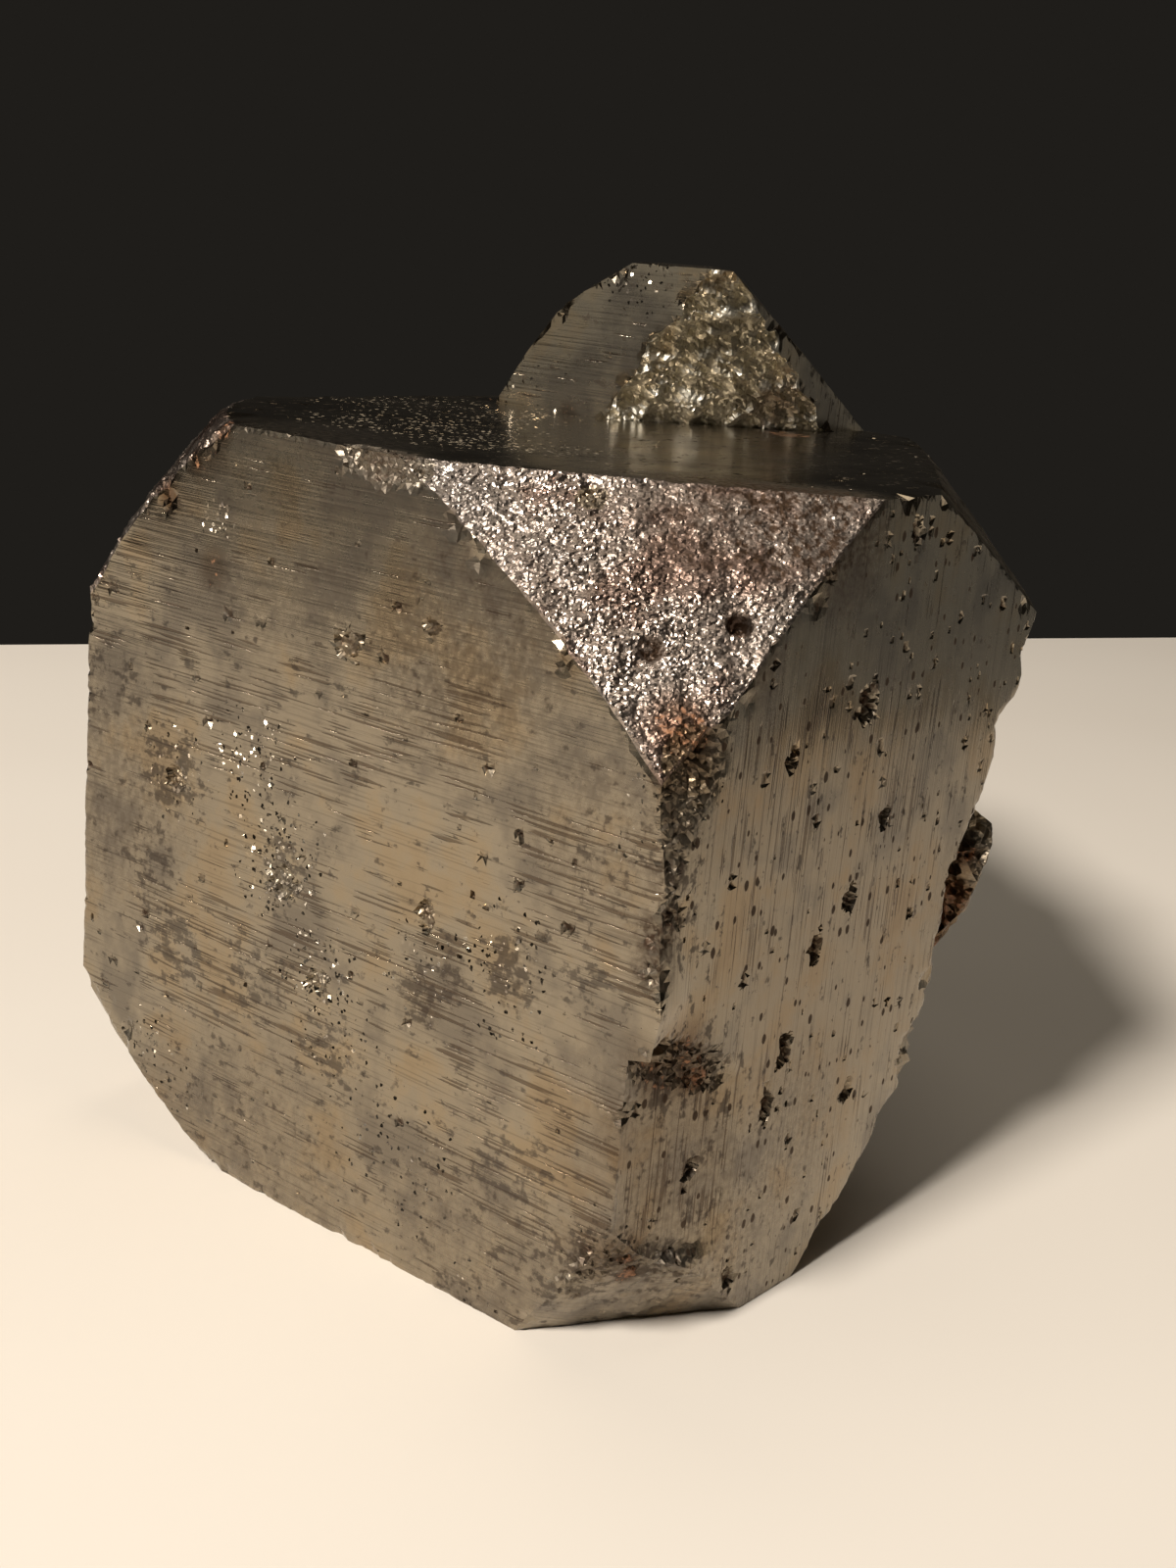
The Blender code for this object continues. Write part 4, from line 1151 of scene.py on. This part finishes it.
# %% Meshes
SHARP_ANGLE = np.radians(7)
SMOOTH_KINDS = [KINDS.index(kind) for kind in ("striated", "plain")]


def make_piece(name, crystal):
    """A mesh object in metres, with its places, kinds and marks."""
    points, triangles, places, kinds, marks = crystal
    mesh = bpy.data.meshes.new(name)
    mesh.vertices.add(len(points))
    mesh.vertices.foreach_set("co", ((points - GROUP_MIDDLE) * MM).ravel())
    mesh.loops.add(triangles.size)
    mesh.loops.foreach_set("vertex_index", triangles.ravel().astype(np.int32))
    mesh.polygons.add(len(triangles))
    mesh.polygons.foreach_set("loop_start", np.arange(0, triangles.size, 3, dtype=np.int32))
    mesh.update(calc_edges=True)
    for kind in KINDS:
        mesh.materials.append(MATERIALS[kind])
    mesh.polygons.foreach_set("material_index", kinds.astype(np.int32))
    mesh.polygons.foreach_set("use_smooth", np.isin(kinds, SMOOTH_KINDS))
    mesh.uv_layers.new(name="grain").data.foreach_set("uv", places.ravel())
    # The dark mark holds the pits, the worn dull spots and the patches of painted shade
    dark = np.maximum(marks[:, DARK], marked(points, DULL_AND_SHADE))
    found = [marked(points, listed) for listed in (DIRT, RUST, SPARKLE)]
    for mark, strength in zip(MARKS, (dark, marks[:, COMB], marks[:, PORE], *found)):
        mesh.attributes.new(mark, "FLOAT", "POINT").data.foreach_set("value", strength.copy())
    mesh.set_sharp_from_angle(angle=SHARP_ANGLE)
    made = bpy.data.objects.new(name, mesh)
    bpy.context.collection.objects.link(made)
    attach(made, "root")
    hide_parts(NODE)
    return made


pieces = [make_piece("large_crystal", main_crystal), make_piece("small_crystal", small_crystal),
          make_piece("back_knots", knots)]
for piece in pieces:
    print(piece.name, len(piece.data.polygons), "triangles")

# %% [markdown]
# ## The floor, the light and the camera
#
# A mirror-like stone shows its surroundings as much as itself. The floor is a pale table top with
# real edges: its reflection stops where the table does. Round it everything is dark. One soft
# warm lamp stands in front and above, two large weak ones light the sides that it can't reach,
# and another hangs over the stone.

# %% Floor
# Clockwise from above, its first corner at the front left
FLOOR_OUTLINE = ((-383, -252), (-24, 501), (119, 284), (164, 144), (229, -544))
FLOOR_THICK = 12.0
FLOOR_COLOURS = (linear("#E0D9CE"), linear("#E8E2D8"))
FLOOR_CLOUDS, FLOOR_ROUGHNESS = 9.0, 0.55   # faint lighter clouds, so many to a metre


def floor_material():
    """Painted wood, brushed and sanded: an even satin colour with hardly a cloud in it."""
    material = bpy.data.materials.new("painted_table_top")
    material.use_nodes = True
    tree = material.node_tree
    space = add(tree, "TexCoord", {}, "Object")
    cloud = add(tree, "TexNoise", {"Vector": space, "Scale": FLOOR_CLOUDS, "Detail": 2.0})
    colour = add(tree, "Mix", {0: cloud, 6: FLOOR_COLOURS[0], 7: FLOOR_COLOURS[1]}, 2,
                 data_type="RGBA")
    shader = tree.nodes["Principled BSDF"]
    tree.links.new(colour, shader.inputs["Base Color"])
    shader.inputs["Roughness"].default_value = FLOOR_ROUGHNESS
    return material


def make_floor():
    """A flat slab with the outline's corners, its top at the height that the stone rests on."""
    top = np.array([(x, y, 0.0) for x, y in FLOOR_OUTLINE]) * MM
    count = len(top)
    bottom = top - (0, 0, FLOOR_THICK * MM)
    ring = range(count)
    faces = [tuple(reversed(ring)), tuple(i + count for i in ring)]
    faces += [((i + 1) % count, (i + 1) % count + count, i + count, i) for i in ring]
    mesh = bpy.data.meshes.new("table_top")
    mesh.from_pydata(np.concatenate([top, bottom]).tolist(), [], faces)
    mesh.materials.append(floor_material())
    made = bpy.data.objects.new("table_top", mesh)
    bpy.context.collection.objects.link(made)


make_floor()
print("the floor's outline has", len(FLOOR_OUTLINE), "corners")

# %% Light
# Each lamp's place, its width, its power in watts and its colour
LAMPS = {
    "key": ((35.0, -940.0, 970.0), 270.0, 25.0, "#FFF6EC"),
    "left_card": ((-1000.0, -1200.0, 600.0), 1500.0, 2.4, "#F6F0E4"),
    "right_card": ((650.0, 950.0, -150.0), 800.0, 0.28, "#F6F0E4"),
    "overhead": ((-100.0, 250.0, 900.0), 600.0, 1.4, "#FFF3E2"),
}
AIM = np.array((0.0, 0.0, 40.0))
ROOM_COLOUR = linear("#1F1D1A")


def placed(place, right, back):
    """The matrix of a thing at this place, with these ways to its right and behind it."""
    turn = Matrix(np.column_stack([right, np.cross(back, right), back]).tolist()).to_4x4()
    return Matrix.Translation(np.array(place) * MM) @ turn


def add_lamp(name, place, width, power, colour):
    """A round soft lamp that faces the stone."""
    lamp = bpy.data.lights.new(name, "AREA")
    lamp.shape, lamp.size = "DISK", width * MM
    lamp.energy, lamp.color = power, linear(colour)[:3]
    made = bpy.data.objects.new(name, lamp)
    back = unit(np.array(place) - AIM)
    made.matrix_world = placed(place, unit(np.cross((0, 0, 1), back)), back)
    bpy.context.collection.objects.link(made)


for name, lamp in LAMPS.items():
    add_lamp(name, *lamp)
world = bpy.data.worlds.new("dark_room")
world.use_nodes = True
world.node_tree.nodes["Background"].inputs["Color"].default_value = ROOM_COLOUR
world.node_tree.nodes["Background"].inputs["Strength"].default_value = 1.0
bpy.context.scene.world = world
bpy.context.scene.view_settings.view_transform = "Standard"
print("lamps:", list(LAMPS))

# %% Camera
CAMERA_PLACE = np.array((124.0, -162.7, 94.2)) - GROUP_MIDDLE
AZIMUTH, ELEVATION, ROLL = np.radians((38.3, 15.5, 5.18))
PICTURE_HEIGHT, FOCAL_PIXELS = 1600.0, 2000.0

camera = bpy.data.cameras.new("camera")
camera.sensor_width = 36.0
camera.lens = camera.sensor_width * FOCAL_PIXELS / PICTURE_HEIGHT
camera.clip_start = 0.01
viewer = bpy.data.objects.new("camera", camera)
back = np.array((np.sin(AZIMUTH) * np.cos(ELEVATION), -np.cos(AZIMUTH) * np.cos(ELEVATION),
                 np.sin(ELEVATION)))
level = np.array((np.cos(AZIMUTH), np.sin(AZIMUTH), 0.0))
right = level * np.cos(ROLL) + np.cross(back, level) * np.sin(ROLL)
viewer.matrix_world = placed(CAMERA_PLACE, right, back)
bpy.context.collection.objects.link(viewer)
bpy.context.scene.camera = viewer
print("the lens is", round(camera.lens, 1), "mm")
